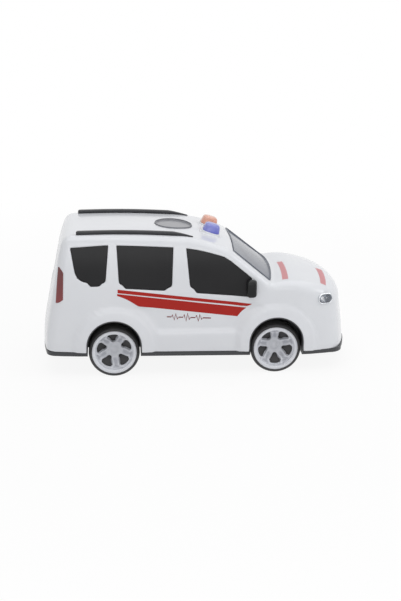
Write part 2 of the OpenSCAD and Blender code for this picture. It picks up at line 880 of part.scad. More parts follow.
module beacon_lens(side, tint) {
    color(tint)
        at_beacon(side)
            translate([0, 0, beacon_base_h + beacon_seat])
                hull() {
                    linear_extrude(beacon_h / 2)
                        beacon_outline(0);
                    linear_extrude(beacon_h)
                        beacon_outline(beacon_taper);
                }
}

module beacon_lens_right() {
    beacon_lens(RIGHT, "royalblue");
}

module beacon_lens_left() {
    beacon_lens(LEFT, "orangered");
}

// Headlights face out and a little forwards from the front corners.
module at_headlight(side) {
    translate([headlight_x, side * headlight_y, headlight_z])
        rotate([0, 0, side * headlight_turn * -1])
            rotate([-90 * side, 0, 0])
                children();
}

module lamp_outline() {
    hull()
        for (x = [-1, 1])
            translate([x * (headlight_l - headlight_h) / 2, 0])
                circle(d = headlight_h, $fn = 24);
}

// Opening for a headlight: an eight-sided slot a little wider than the housing.
opening_sides = 8;
opening_turn = 22.5;
module lamp_opening() {
    hull()
        for (x = [-1, 1])
            translate([x * (headlight_l - headlight_h) / 2, 0])
                rotate(opening_turn)
                    circle(r = (headlight_h / 2 + fit_gap) / cos(180 / opening_sides), $fn = opening_sides);
}

module headlight_housing(side) {
    color("silver")
        at_headlight(side)
            difference() {
                translate([0, 0, -housing_depth])
                    linear_extrude(housing_depth + lamp_proud)
                        lamp_outline();
                translate([0, 0, -housing_depth + housing_wall])
                    linear_extrude(housing_depth + lamp_proud)
                        offset(delta = -housing_wall)
                            lamp_outline();
            }
}

module headlight_housing_right() {
    headlight_housing(RIGHT);
}

module headlight_housing_left() {
    headlight_housing(LEFT);
}

module headlight_lens(side) {
    color("slategray")
        at_headlight(side)
            translate([0, 0, -housing_depth + housing_wall + lens_proud])
                linear_extrude(housing_depth - housing_wall)
                    offset(delta = -housing_wall - lens_room)
                        lamp_outline();
}

module headlight_lens_right() {
    headlight_lens(RIGHT);
}

module headlight_lens_left() {
    headlight_lens(LEFT);
}

// Shows something drawn for the right side on either side.
module on_side(side) {
    mirror([0, side == LEFT ? 1 : 0, 0])
        children();
}

// Frame of the right tail light: its own Z runs up the rounded rear corner.
module at_tail_light() {
    low = tail_axis(tail_low);
    high = tail_axis(tail_high);
    lean = atan((high[0] - low[0]) / (high[2] - low[2]));
    tip = atan((low[1] - high[1]) / (high[2] - low[2]));
    translate([low[0], -low[1], low[2]])
        rotate([-tip, lean, 0])
            children();
}

// Curved strip round the rear corner, between two radii.
module tail_strip(inner, outer, gap) {
    length = tail_high - tail_low + 2 * gap;
    extra = gap / tail_r * 180 / PI;
    sweep = tail_sweep[1] - tail_sweep[0] + 2 * extra;
    translate([0, 0, -gap])
        rotate(-180)
            rotate(tail_sweep[0] - extra)
                rotate_extrude(angle = sweep, $fn = 36)
                    translate([inner, 0])
                        square([outer - inner, length]);
}

module tail_light(side) {
    color("#a12b2b")
        on_side(side)
            at_tail_light()
                tail_strip(tail_r + tail_proud - tail_t, tail_r + tail_proud, 0);
}

module tail_light_right() {
    tail_light(RIGHT);
}

module tail_light_left() {
    tail_light(LEFT);
}

// Door mirror on a peg at the front corner of the door window.
module at_mirror(side) {
    translate([mirror_x, side * side_w(mirror_x, mirror_z), mirror_z])
        rotate([0, 0, side * 90])
            children();
}

module mirror_body(side) {
    color("#242527")
        at_mirror(side) {
            hull()
                for (z = [-1, 1], x = [0.4 + mirror_t / 2, mirror_reach - mirror_t / 2])
                    translate([x, side * mirror_back, z * (mirror_h - mirror_t) / 2])
                        rotate([90, 0, 0])
                            cylinder(h = mirror_l, d = mirror_t, center = true, $fn = 32);
            translate([-wall - 1, 0, 0])
                rotate([0, 90, 0])
                    cylinder(h = wall + 4, r = peg_r, $fn = 24);
        }
}

module mirror_right() {
    mirror_body(RIGHT);
}

module mirror_left() {
    mirror_body(LEFT);
}

module grille() {
    color("#2a2b2d")
        top_window(GRILLE_PANEL);
}

body_shell();
chassis_base();
chassis_screws();
front_axle();
rear_axle();
rim_front_right();
rim_front_left();
rim_rear_right();
rim_rear_left();
tyre_front_right();
tyre_front_left();
tyre_rear_right();
tyre_rear_left();
windscreen();
rear_window();
roof_hatch();
door_window_right();
door_window_left();
middle_window_right();
middle_window_left();
quarter_window_right();
quarter_window_left();
roof_rail_right();
roof_rail_left();
beacon_base_right();
beacon_base_left();
beacon_lens_right();
beacon_lens_left();
headlight_housing_right();
headlight_housing_left();
headlight_lens_right();
headlight_lens_left();
tail_light_right();
tail_light_left();
mirror_right();
mirror_left();
grille();
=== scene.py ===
# %% [markdown]
# # A toy ambulance, dressed for its portrait
# The solids of the part come in as a fixed frame. This lesson gives them their looks: a glossy moulded
# shell, dark panes, spoked wheels and small trim. Every length below is written in millimetres, because
# that is how a toy is drawn, and `MM` turns it into Blender's metres when a mesh is made.

# %% Load the frame
import math

import bmesh
import bpy
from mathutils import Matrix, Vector
from mathutils.geometry import delaunay_2d_cdt


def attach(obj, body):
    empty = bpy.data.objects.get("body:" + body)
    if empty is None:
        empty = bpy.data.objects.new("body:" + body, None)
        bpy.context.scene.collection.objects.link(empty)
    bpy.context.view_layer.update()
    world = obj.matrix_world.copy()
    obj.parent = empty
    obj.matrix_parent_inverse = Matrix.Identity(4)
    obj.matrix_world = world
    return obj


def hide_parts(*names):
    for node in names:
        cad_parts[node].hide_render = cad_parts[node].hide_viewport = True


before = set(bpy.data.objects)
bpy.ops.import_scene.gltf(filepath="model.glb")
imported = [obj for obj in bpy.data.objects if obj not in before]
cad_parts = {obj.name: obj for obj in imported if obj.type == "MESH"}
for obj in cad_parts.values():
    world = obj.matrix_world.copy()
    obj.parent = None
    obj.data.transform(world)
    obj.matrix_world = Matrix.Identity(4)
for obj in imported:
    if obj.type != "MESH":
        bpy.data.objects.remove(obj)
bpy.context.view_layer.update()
MM = 0.001
RIGHT, LEFT = -1, 1
HANDS = ((RIGHT, "right"), (LEFT, "left"))

# %% [markdown]
# ## Camera
# The picture was taken from a little above, almost square to the right side. A long lens keeps the roof
# lines nearly parallel. Blender measures the lens against the longer side of the frame, which is the height
# here, so the sensor's size over the picture's height turns a focal length in pixels into millimetres.

# %% Camera at the photograph's angle
SENSOR_MM, PICTURE_HIGH, FOCAL_PX = 36, 601, 1202.3
AZIMUTH, ELEVATION = math.radians(-4.164), math.radians(18)
TARGET, DISTANCE = Vector((6.56, 0, 57.77)), 1200


def portrait_camera():
    camera = bpy.data.objects.new("portrait_camera", bpy.data.cameras.new("portrait_camera"))
    camera.data.lens = SENSOR_MM * FOCAL_PX / PICTURE_HIGH
    camera.data.clip_start = 0.05
    level = math.cos(ELEVATION)
    back = Vector((math.sin(AZIMUTH) * level, -math.cos(AZIMUTH) * level, math.sin(ELEVATION)))
    camera.location = (TARGET + back * DISTANCE) * MM
    camera.rotation_euler = back.to_track_quat("Z", "Y").to_euler()
    bpy.context.scene.collection.objects.link(camera)
    bpy.context.scene.camera = camera
    return camera


print("lens:", round(portrait_camera().data.lens, 2), "mm")

# %% [markdown]
# ## Writing shaders as sums
# A material is a small machine of nodes. Wiring them one by one is slow to read, so this class wraps a
# socket and lets plain Python operators add the Math nodes. Colours are mixed with a Mix node instead,
# since a Math node would turn them grey.

# %% A socket that can be added and multiplied
class Sock:
    def __init__(self, tree, socket):
        self.tree, self.socket = tree, socket

    def math(self, operation, *values):
        return self.tree.node("ShaderNodeMath", {"operation": operation}, dict(enumerate(values)))

    def __add__(self, other):
        return self.math("ADD", self, other)

    def __radd__(self, other):
        return self.math("ADD", other, self)

    def __sub__(self, other):
        return self.math("SUBTRACT", self, other)

    def __rsub__(self, other):
        return self.math("SUBTRACT", other, self)

    def __mul__(self, other):
        return self.math("MULTIPLY", self, other)

    def __rmul__(self, other):
        return self.math("MULTIPLY", other, self)

    def __truediv__(self, other):
        return self.math("DIVIDE", self, other)

    def __rtruediv__(self, other):
        return self.math("DIVIDE", other, self)

    def __abs__(self):
        return self.math("ABSOLUTE", self)

    def clamped(self):
        return self.tree.node("ShaderNodeClamp", {}, {"Value": self})

    def share(self, low, high):
        """0 at low, 1 at high, and held there beyond them."""
        return ((self - low) / (high - low)).clamped()


print("reflected operators:", [name for name in vars(Sock) if name.startswith("__r")])

# %% [markdown]
# One class adds nodes to any tree, and a finish is a tree that belongs to a material. The colours in this
# lesson are screen levels from 0 to 255. Blender counts light instead, so `rgb` undoes the screen's curve.

# %% A tree of nodes, a finish and colours
SEEN_BY = ("Camera", "Glossy", "Transmission")
BUMP_DEPTH = 0.2 * MM


class Tree:
    """Nodes of a material or of the sky. node() adds any node: its settings first, then its sockets."""

    def __init__(self, owner):
        owner.use_nodes = True
        self.nodes, self.links = owner.node_tree.nodes, owner.node_tree.links

    def node(self, kind, settings=None, inputs=None, output=0):
        made = self.nodes.new(kind)
        for key, value in (settings or {}).items():
            setattr(made, key, value)
        for key, value in (inputs or {}).items():
            self.put(made.inputs[key], value)
        return Sock(self, made.outputs[output])

    def put(self, socket, value):
        if isinstance(value, Sock):
            self.links.new(value.socket, socket)
        else:
            socket.default_value = value

    def seen(self):
        """One or more for camera, mirror and glass rays, zero for the rays that only carry light."""
        return sum((self.node("ShaderNodeLightPath", {}, {}, f"Is {kind} Ray") for kind in SEEN_BY), 0)


class Finish(Tree):
    """One material, with the nodes that most finishes need."""

    def __init__(self, name):
        self.material = bpy.data.materials.new(name)
        super().__init__(self.material)
        self.surface = self.nodes["Principled BSDF"]

    def paint(self, **sockets):
        for key, value in sockets.items():
            self.put(self.surface.inputs[key.replace("_", " ")], value)
        return self.material

    def place(self):
        return self.node("ShaderNodeTexCoord", {}, {}, "Object")

    def part(self, vector, axis):
        """One of the three numbers of a vector."""
        return self.node("ShaderNodeSeparateXYZ", {}, {0: vector}, axis)

    def noise(self, scale, detail=2):
        return self.node("ShaderNodeTexNoise", {}, {
            "Vector": self.place(), "Scale": scale, "Detail": detail})

    def mix(self, factor, a, b):
        return self.node("ShaderNodeMix", {"data_type": "RGBA"}, {0: factor, 6: a, 7: b}, 2)

    def bump(self, height, strength):
        return self.node("ShaderNodeBump", {}, {
            "Height": height, "Strength": strength, "Distance": BUMP_DEPTH})


def rgb(*levels):
    """A colour given as 0 to 255 screen levels, as linear light with an alpha of one."""
    linear = [v / 255 / 12.92 if v <= 10 else ((v / 255 + 0.055) / 1.055) ** 2.4 for v in levels]
    return (*linear, 1.0)


def darker(colour, share):
    return (*(share * c for c in colour[:3]), 1.0)


print("middle grey:", round(rgb(128)[0], 3))

# %% [markdown]
# ## Stage and light
# The toy stands on a plain white sweep under soft light. The floor keeps the shadow but shows white to the
# camera where no shadow falls: its diffuse shader is mixed with a white emission that only camera, mirror
# and glass rays see. Away from the toy the emission takes over, so that no horizon shows. The sky is dim
# for the light it gives, and white for the same three kinds of ray.

# %% Floor, sky and lamps
FLOOR_HALF = 4
FLOOR_WHITE, FADE_FROM, FADE_TO = 0.9, 0.3, 0.7
SKY_LIGHT = 0.4
SOFTBOXES = [("key_softbox", (-0.4, -0.9, 1.6), (0, 0, 0.07), (1.2, 0.8), 3.2),
             ("top_softbox", (0.1, 0.0, 1.6), (0, 0, 0.1), (2.4, 2.0), 13),
             ("nose_softbox", (1.5, -0.6, 0.9), (0.05, 0, 0.07), (0.8, 0.8), 5),
             ("low_softbox", (-0.1, -1.5, 0.4), (0, 0, 0.05), (1.0, 0.5), 2.1)]


def white_sweep():
    mesh = bpy.data.meshes.new("floor")
    corners = [(x * FLOOR_HALF, y * FLOOR_HALF, 0) for x, y in ((-1, -1), (1, -1), (1, 1), (-1, 1))]
    mesh.from_pydata(corners, [], [(0, 1, 2, 3)])
    floor = bpy.data.objects.new("floor", mesh)
    bpy.context.scene.collection.objects.link(floor)
    look = Finish("floor_white")
    away = look.node("ShaderNodeVectorMath", {"operation": "LENGTH"}, {0: look.place()}, "Value")
    white = FLOOR_WHITE + away.share(FADE_FROM, FADE_TO) * (1 - FLOOR_WHITE)
    paper = look.node("ShaderNodeBsdfDiffuse", {}, {"Color": (0.93, 0.93, 0.93, 1)})
    glow = look.node("ShaderNodeEmission", {}, {"Color": (1, 1, 1, 1), "Strength": 1.0})
    mixed = look.node("ShaderNodeMixShader", {}, {0: (look.seen() * white).clamped(), 1: paper, 2: glow})
    look.put(look.nodes["Material Output"].inputs["Surface"], mixed)
    mesh.materials.append(look.material)


def pale_sky():
    world = bpy.data.worlds.new("studio_sky")
    bpy.context.scene.world = world
    sky = Tree(world)
    light = sky.nodes["Background"].inputs
    sky.put(light["Color"], (1, 1, 1, 1))
    sky.put(light["Strength"], SKY_LIGHT + sky.seen().clamped() * (1 - SKY_LIGHT))


def softbox(name, place, target, size, power):
    lamp = bpy.data.lights.new(name, "AREA")
    lamp.shape, lamp.size, lamp.size_y, lamp.energy = "RECTANGLE", size[0], size[1], power
    holder = bpy.data.objects.new(name, lamp)
    holder.location = place
    holder.rotation_euler = (Vector(place) - Vector(target)).to_track_quat("Z", "Y").to_euler()
    bpy.context.scene.collection.objects.link(holder)


bpy.context.scene.view_settings.view_transform = "Standard"
white_sweep()
pale_sky()
for values in SOFTBOXES:
    softbox(*values)

# %% [markdown]
# ## Finishes
# Toy plastics differ in small ways that the eye still reads: a white moulding has faint waves where the
# melt flowed, a black base scuffs, tinted panes are smooth and deep. One function serves them all. It
# starts from a colour and lets a slow noise move colour and roughness, and a fine one make the texture.

# %% Moulded plastics
def moulded(name, colour, shade, rough, wave, grain, bump, coat=0.0, spread=0.05, shine=0.5):
    """Plastic with slow clouds in its colour and roughness, and a fine mould texture."""
    look = Finish(name)
    clouds, texture = look.noise(wave, 3), look.noise(grain)
    return look.paint(
        Base_Color=look.mix(clouds, colour, shade),
        Roughness=rough + (clouds - 0.5) * (spread * 2),
        Normal=look.bump(texture * 0.5 + clouds * 2, bump),
        Coat_Weight=coat, Coat_Roughness=0.08, Specular_IOR_Level=shine)


WHITE = moulded("white_gloss", rgb(229, 231, 235), rgb(223, 225, 230), 0.24, wave=40, grain=700, bump=0.05,
                coat=0.25)
BASE = moulded("black_base", rgb(64, 65, 68), rgb(54, 55, 58), 0.36, wave=90, grain=1500, bump=0.12)
TRIM = moulded("trim_black", rgb(52, 53, 56), rgb(42, 43, 46), 0.42, wave=120, grain=1800, bump=0.15)
POD = moulded("mirror_black", rgb(18, 19, 20), rgb(13, 14, 15), 0.3, wave=120, grain=1500, bump=0.1,
              shine=0.3)
PANE = moulded("dark_glazing", rgb(34, 34, 36), rgb(44, 44, 45), 0.2, wave=25, grain=300, bump=0.03,
               spread=0.03, shine=0.16)
# Painted reflection: the hatch is dark glazing painted pale grey, for the light it reflects.
HATCH_PAINTED_REFLECTION = moulded("hatch_glazing", rgb(146, 147, 152), rgb(132, 133, 138), 0.24, wave=40, grain=300,
                bump=0.03, coat=0.1, spread=0.03)
# Painted glare: the windscreen's pale colour and its clouds stand for the glare reflected on a dark pane.
SCREEN_PAINTED_GLARE = moulded("screen_glazing", rgb(88, 92, 102), rgb(136, 141, 152), 0.18, wave=55, grain=250,
                 bump=0.04, spread=0.03, shine=0.4)
print("plastics:", [m.name for m in (WHITE, BASE, TRIM, POD, PANE, HATCH_PAINTED_REFLECTION, SCREEN_PAINTED_GLARE)])

# %% [markdown]
# The tyre is painted paler where it faces away from the axle: painted light that lifts its running face out
# of the arch's shade, mottled by noise. The direction of the surface tells that face from the side wall, so
# no picture has to be painted. The rims are silver paint with painted shade: bright on the outer ring,
# greyer down in the dish, and dull in the hollows of the spokes, which the rim's mesh marks with an
# attribute of its own.

# %% Tyres, rims and bright metal
# Depths from the middle of the car over which the rim's painted shade in the dish gives way to the bright
# outer ring.
DISH_SHADE_Y, RING_UNSHADED_Y = 45.5, 51.5


def tyre_with_painted_tread_light():
    """Black tyre painted paler where it faces away from the axle: painted light that lifts it out of the
    arch's shade.
    """
    look = Finish("tyre_black")
    dust_and_light_clouds, grain = look.noise(140, 4), look.noise(2600)
    across = look.part(look.node("ShaderNodeNewGeometry", {}, {}, "Normal"), "Y")
    # Painted light: where the tyre faces away from the axle it is painted paler, to lift it out of the
    # arch's shade.
    painted_tread_light = (1.2 - abs(across) * 2).clamped()
    wall = look.mix((dust_and_light_clouds * 1.6 - 0.4).clamped(), rgb(50, 50, 52), rgb(68, 67, 68))
    return look.paint(
        Base_Color=look.mix(painted_tread_light * (0.7 + dust_and_light_clouds * 0.4), wall, rgb(104, 103, 102)),
        Roughness=0.52 + dust_and_light_clouds * 0.2, Normal=look.bump(grain, 0.2))


def rim_with_painted_shade():
    look = Finish("rim_silver")
    hollow_shade = look.node("ShaderNodeAttribute", {"attribute_name": "hollow_shade"}, {}, "Fac")
    # Painted shade: the silver greys with the depth into the dish, and darkens again in the spokes'
    # hollows.
    ring = abs(look.part(look.place(), "Y")).share(DISH_SHADE_Y * MM, RING_UNSHADED_Y * MM)
    flakes = look.noise(1600)
    paint = look.mix((ring + flakes * 0.2 - 0.1).clamped(), rgb(204, 206, 212), rgb(226, 228, 234))
    return look.paint(
        Base_Color=look.mix(hollow_shade * (0.75 + flakes * 0.4), paint, rgb(172, 174, 182)),
        Roughness=0.3 + flakes * 0.12, Normal=look.bump(flakes, 0.08), Coat_Weight=0.2)


def bright_metal(name, colour, rough, scale):
    look = Finish(name)
    marks = look.noise(scale, 4)
    return look.paint(
        Base_Color=look.mix(marks, colour, darker(colour, 0.82)),
        Metallic=1.0, Roughness=rough + marks * 0.12)


TYRE = tyre_with_painted_tread_light()
RIM = rim_with_painted_shade()
STEEL = bright_metal("steel", rgb(200, 202, 205), 0.3, 700)
CHROME = bright_metal("lamp_bright", rgb(226, 228, 232), 0.1, 300)
print("wheel and metal finishes:", [m.name for m in (TYRE, RIM, STEEL, CHROME)])

# %% [markdown]
# A beacon's cap is tinted plastic whose colour runs from deep at its foot to pale at its top: painted
# light, as if the cap gathered light there. The tail lights use the same grading, from red to a darker red
# at the top.
# The prints are matt ink. The headlight's cover is clear over the large bulb and turns dark towards the
# nose, a painted dark reflection, which an alpha that grows along the car gives without any real glass.

# %% Lenses, prints and the headlight cover
DARK_FROM_X, DARK_TO_X = 120.5, 124.5


def lens_with_painted_light(name, deep, bright, rough, foot, top):
    look = Finish(name)
    # Painted light and shade: the colour is graded with the height, paler towards the top of a beacon cap
    # and darker towards the top of a tail light.
    light_by_height = look.part(look.place(), "Z").share(foot * MM, top * MM)
    clouds = look.noise(260)
    return look.paint(
        Base_Color=look.mix((light_by_height * 0.8 + clouds * 0.3).clamped(), deep, bright),
        Roughness=rough + clouds * 0.06, Coat_Weight=0.5, Coat_Roughness=0.05,
        Normal=look.bump(clouds, 0.05))


def printed_red(name, colour):
    look = Finish(name)
    speckle = look.noise(1800)
    return look.paint(
        Base_Color=look.mix(speckle, colour, darker(colour, 0.86)),
        Roughness=0.42 + speckle * 0.1, Specular_IOR_Level=0.3)


def cover_with_painted_dark():
    look = Finish("lamp_lens")
    clouds = look.noise(500)
    # Painted dark reflection: the cover grows dark from the large bulb towards the nose.
    painted_dark = look.part(look.place(), "X").share(DARK_FROM_X * MM, DARK_TO_X * MM)
    return look.paint(
        Base_Color=look.mix(clouds, rgb(58, 68, 84), rgb(34, 42, 56)),
        Roughness=0.06 + clouds * 0.05, Alpha=0.05 + painted_dark * (0.15 + clouds * 0.75))


BLUE = lens_with_painted_light("lens_blue", rgb(78, 86, 196), rgb(150, 155, 216), 0.2, 131, 144)
ORANGE = lens_with_painted_light("lens_orange", rgb(220, 132, 104), rgb(234, 190, 172), 0.16, 132, 146)
TAIL = lens_with_painted_light("tail_red", rgb(132, 36, 38), rgb(92, 26, 30), 0.2, 77, 111)
RED = printed_red("printed_red", rgb(176, 27, 15))
FADED = printed_red("faded_red", rgb(216, 150, 154))
DEEP = printed_red("deep_red", rgb(122, 22, 24))
COVER = cover_with_painted_dark()
print("lenses and prints:", [m.name for m in (BLUE, ORANGE, TAIL, RED, FADED, DEEP, COVER)])

# %% [markdown]
# ## The shape of the shell
# The body is one blown-up form. Its outline, seen from the side, is a list of corners, each with the length
# of its bend, the radius of the turn into the side, and how far the middle of the roof, nose or tail bows
# out. The half width of the side is a formula. Both follow the solid, only with far more points.

# %% Outline of the body, from the tail over the roof to the nose
LIP = 0.8
BODY_LONG, SILL_Z, SILL_FALL = 298, 24.5, 5
# x, z, length of the bend, turn into the side, bow forwards, bow upwards
CORNERS = [
    (-145.2, -5, 0, 10, -3.8, 0), (-145.2, 40, 14, 10, -3.8, 0), (-138.6, 76, 18, 10.5, -3.4, 0),
    (-129.9, 124, 8, 8, -2, 0), (-125.4, 138.9, 10, 6.4, -1, 0.4), (-66, 139.5, 36, 8.5, 0, 0.6),
    (-2, 135.6, 20, 8.5, 0.3, 0.6), (30.5, 124, 7, 6.5, 1.2, 1.2), (70.8, 90.3, 3, 6, 5, 2.6),
    (92, 93.4, 14, 9, 2.5, 1.8), (123, 86.2, 11, 11, 5, 3), (135, 74.6, 8, 13, 7, 1.4),
    (138.6, 50, 12, 14, 7, 0), (145, -5, 0, 14, 6.6, 0)]


def lerp(a, b, f):
    return tuple(p + (q - p) * f for p, q in zip(a, b))


def bent(points, closed, steps=8):
    """Corners with a bend length in place 2 become short curves."""
    line, count = [], len(points)
    for i, at in enumerate(points):
        if at[2] == 0 or (not closed and i in (0, count - 1)):
            line.append(at)
            continue
        before, after = points[i - 1], points[(i + 1) % count]
        a, c = (lerp(at, p, min(0.5, at[2] / math.dist(at[:2], p[:2]))) for p in (before, after))
        line += [lerp(lerp(a, at, k / steps), lerp(at, c, k / steps), k / steps) for k in range(steps + 1)]
    return line


def filled(line, longest, closed):
    """More points along a line, so that no step is longer than a given length."""
    out = []
    for i in range(len(line) if closed else len(line) - 1):
        a, b = line[i], line[(i + 1) % len(line)]
        parts = max(1, math.ceil(math.dist(a[:2], b[:2]) / longest))
        out += [lerp(a, b, k / parts) for k in range(parts)]
    return out if closed else out + [line[-1]]


def rounded_loop(corners, steps=4, longest=3):
    """Closed loop of plain points through corners of x, y and bend."""
    return [p[:2] for p in filled(bent(corners, True, steps), longest, True)]


def sill_z(x):
    return SILL_Z - x * SILL_FALL / BODY_LONG


def above_sill(line):
    """The part of the outline above the sill, starting and ending one lip above it."""
    floor = [p[1] - sill_z(p[0]) - LIP for p in line]
    first = next(i for i, f in enumerate(floor) if f > 0)
    last = max(i for i, f in enumerate(floor) if f > 0)
    start = lerp(line[first - 1], line[first], -floor[first - 1] / (floor[first] - floor[first - 1]))
    end = lerp(line[last], line[last + 1], floor[last] / (floor[last] - floor[last + 1]))
    return [start] + line[first:last + 1] + [end]


outline = filled(above_sill(filled(bent(CORNERS, False), 2, False)), 4, False)
outline = [p for p, q in zip(outline, outline[1:]) if math.dist(p[:2], q[:2]) > 0.2] + outline[-1:]
print("outline points:", len(outline), outline[0][:2], outline[-1][:2])

# %% [markdown]
# The side leans in above the waist, tucks in below it, and is pulled in at the nose and at the tail. On top
# of that lies the pressed detail: a flare round each arch, and a shallow panel across the doors. All of it
# is one height over a flat sheet, so soft steps are enough and nothing has to be sculpted.

# %% Half width of the side, with its flares and its pressed-in door panel
FRONT_X, REAR_X = 75.75, -80.25
ARCH_Z, ARCH_R = 32, 26.4
ARCHES = [(FRONT_X, ARCH_Z), (REAR_X, ARCH_Z)]
HALF_WIDTH, WAIST_Z = 57.5, 60
LEAN, TUCK, NOSE_PULL, TAIL_PULL = 6.5, 2, 5.3, 2
FLARE_HIGH, PANEL_DEEP = 3, 2.4
SLOPE_STEP = 0.2


def ease(value, low, high):
    t = min(1, max(0, (value - low) / (high - low)))
    return t * t * (3 - 2 * t)


def arch_distance(x, z, arch):
    return math.hypot(x - arch[0], max(0, z - arch[1]))


def relief(x, z):
    """Height of the pressed detail over the plain side."""
    front, rear = (arch_distance(x, z, arch) for arch in ARCHES)
    flare = max(1 - 0.4 * ease(d, 26, 38) - 0.6 * ease(d, 36.2, 39) for d in (front, rear))
    panel = ease(rear, 40, 45) * ease(front, 39, 44) * ease(z, 43, 47.5) * (1 - ease(z, 56, 86))
    doors = ease(x, -60, -40) * (1 - ease(x, 34, 50)) if z > 70 else float(-80 < x < 76)
    return FLARE_HIGH * flare - PANEL_DEEP * panel * doors


def plain_half(x, z):
    lean = LEAN * (max(0, z - WAIST_Z) / 71) ** 2.4
    tuck = TUCK * min(1, max(0, WAIST_Z - z) / 38) ** 2
    nose = NOSE_PULL * (max(0, x - 93) / 35.5) ** 2
    tail = TAIL_PULL * (max(0, -107 - x) / 28) ** 2
    return HALF_WIDTH - lean - tuck - nose - tail


def side_half(x, z):
    return plain_half(x, z) + relief(x, z)


def on_side(side, x, z, out=0.0):
    """A place on the body side, lifted along the surface's own direction."""
    step = SLOPE_STEP
    slope_x = (side_half(x + step, z) - side_half(x - step, z)) / (2 * step)
    slope_z = (side_half(x, z + step) - side_half(x, z - step)) / (2 * step)
    up = Vector((-slope_x, 1, -slope_z)).normalized() * out
    return Vector((x + up.x, side * (side_half(x, z) + up.y), z + up.z))


def side_lift(side, out=0.0):
    return lambda x, z: on_side(side, x, z, out)


print("door half width:", round(side_half(0, 60), 2), "flare:", round(side_half(75, 62), 2))

# %% [markdown]
# The roof, screen, hood, nose and tail are one ribbon along the outline. A place on it has two numbers: how
# far along the outline, and how far across. Where the ribbon meets a side, a smooth bend joins both, and it
# leaves each of them along its own slope, so that no crease shows in the gloss.

# %% Places on the ribbon and on the bend
ACROSS = 45.0
BEND_PULL, FOOT_STEP = 0.55, 0.5


def outward(i):
    a, b = outline[max(0, i - 1)], outline[min(len(outline) - 1, i + 1)]
    d = Vector((b[0] - a[0], b[1] - a[1])).normalized()
    return Vector((-d.y, d.x))


reach = [0.0]
for a, b in zip(outline, outline[1:]):
    reach.append(reach[-1] + math.dist(a[:2], b[:2]))
outs = [outward(i) for i in range(len(outline))]
turns = [(p[0] - o.x * p[3], p[1] - o.y * p[3]) for p, o in zip(outline, outs)]
halves = [plain_half(*t) - p[3] for p, t in zip(outline, turns)]


def along(s):
    """Index and share of a distance along the outline."""
    s = min(max(s, 0), reach[-1] - 1e-6)
    i = next(k for k in range(len(reach) - 1) if reach[k + 1] > s)
    return i, (s - reach[i]) / (reach[i + 1] - reach[i])


def half_at(s):
    """Half width of the ribbon at a distance along the outline."""
    i, f = along(s)
    return halves[i] + (halves[i + 1] - halves[i]) * f


def on_top(s, t, out=0.0):
    """A place on the ribbon: t runs across it, from -1 to 1."""
    i, f = along(s)
    q = lerp(outline[i], outline[i + 1], f)
    o = outs[i].lerp(outs[i + 1], f).normalized()
    bow = 1 - t * t
    return Vector((q[0] + q[4] * bow + o.x * out, t * half_at(s), q[1] + q[5] * bow + o.y * out))


def top_lift(out=0.0):
    return lambda s, u: on_top(s, u / ACROSS, out)


def on_bend(i, side, f, out=0.0):
    """A place on the bend: f runs from the ribbon, 0, to the side, 1."""
    q, o, r = outline[i], outs[i], outline[i][3]
    top, foot = Vector((q[0], side * halves[i], q[1])), on_side(side, *turns[i])
    from_top = Vector((-2 * q[4] / halves[i], side, -2 * q[5] / halves[i])).normalized()
    beyond = on_side(side, turns[i][0] + o.x * FOOT_STEP, turns[i][1] + o.y * FOOT_STEP)
    from_foot = (beyond - foot).normalized()
    b, c, k = top + from_top * r * BEND_PULL, foot + from_foot * r * BEND_PULL, 1 - f
    place = top * k ** 3 + b * 3 * k * k * f + c * 3 * k * f * f + foot * f ** 3
    if out:
        slope = (b - top) * k * k + (c - b) * 2 * k * f + (foot - c) * f * f
        j = min(i + 1, len(outline) - 1)
        run = Vector((outline[j][0] - outline[j - 1][0], 0, outline[j][1] - outline[j - 1][1]))
        place = place + slope.cross(run).normalized() * side * -out
    return place


print("ribbon length:", round(reach[-1], 1))

# %% [markdown]
# ## Sheets with holes
# Each curved sheet is first drawn flat: an outer edge, holes, and a grid of points between them. A
# constrained Delaunay triangulation joins them, and then every point is lifted onto the curved surface.
# Boolean modifiers could cut the holes too, but they leave long thin faces that show in gloss.

# %% Flat sheets
EDGE_ROOM, CELL = 1.3, 4.0


def inside(point, loop):
    x, y = point
    hit = False
    for (x0, y0), (x1, y1) in zip(loop, loop[1:] + loop[:1]):
        if (y0 > y) != (y1 > y) and x < (x1 - x0) * (y - y0) / (y1 - y0) + x0:
            hit = not hit
    return hit


def flat_sheet(outer, holes, grid):
    """Points and triangles of a flat sheet with holes. The grid points near an edge are left out."""
    loops = [outer] + holes
    edge = [p for loop in loops for p in loop]
    near = {}
    for p in edge:
        near.setdefault((int(p[0] // CELL), int(p[1] // CELL)), []).append(p)

    def clear(p):
        cx, cy = int(p[0] // CELL), int(p[1] // CELL)
        return all(math.dist(p, q) > EDGE_ROOM for i in (-1, 0, 1) for j in (-1, 0, 1)
                   for q in near.get((cx + i, cy + j), ()))

    def kept(p):
        return inside(p, outer) and not any(inside(p, hole) for hole in holes)

    points = edge + [p for p in grid if clear(p) and kept(p)]
    lines, start = [], 0
    for loop in loops:
        n = len(loop)
        lines += [(start + k, start + (k + 1) % n) for k in range(n)]
        start += n
    made = delaunay_2d_cdt([Vector(p) for p in points], lines, [], 0, 1e-5)
    places = [tuple(v) for v in made[0]]
    faces = [f for f in made[2] if kept(tuple(sum(places[i][k] for i in f) / 3 for k in (0, 1)))]
    return places, faces


def grid_points(x_range, y_range, step):
    nx, ny = (int((r[1] - r[0]) / step) + 1 for r in (x_range, y_range))
    return [(x_range[0] + i * step, y_range[0] + j * step) for i in range(nx) for j in range(ny)]


def lift_sheet(bm, flat, lift, flip):
    """Puts a flat sheet on a curved surface, as faces of a bmesh."""
    places, faces = flat
    verts = [bm.verts.new(lift(*p)) for p in places]
    for f in faces:
        a, b, c = (verts[i] for i in f)
        bm.faces.new((a, c, b) if flip else (a, b, c))


print("points in a 3 by 2 grid:", len(grid_points((0, 2), (0, 1), 1)))
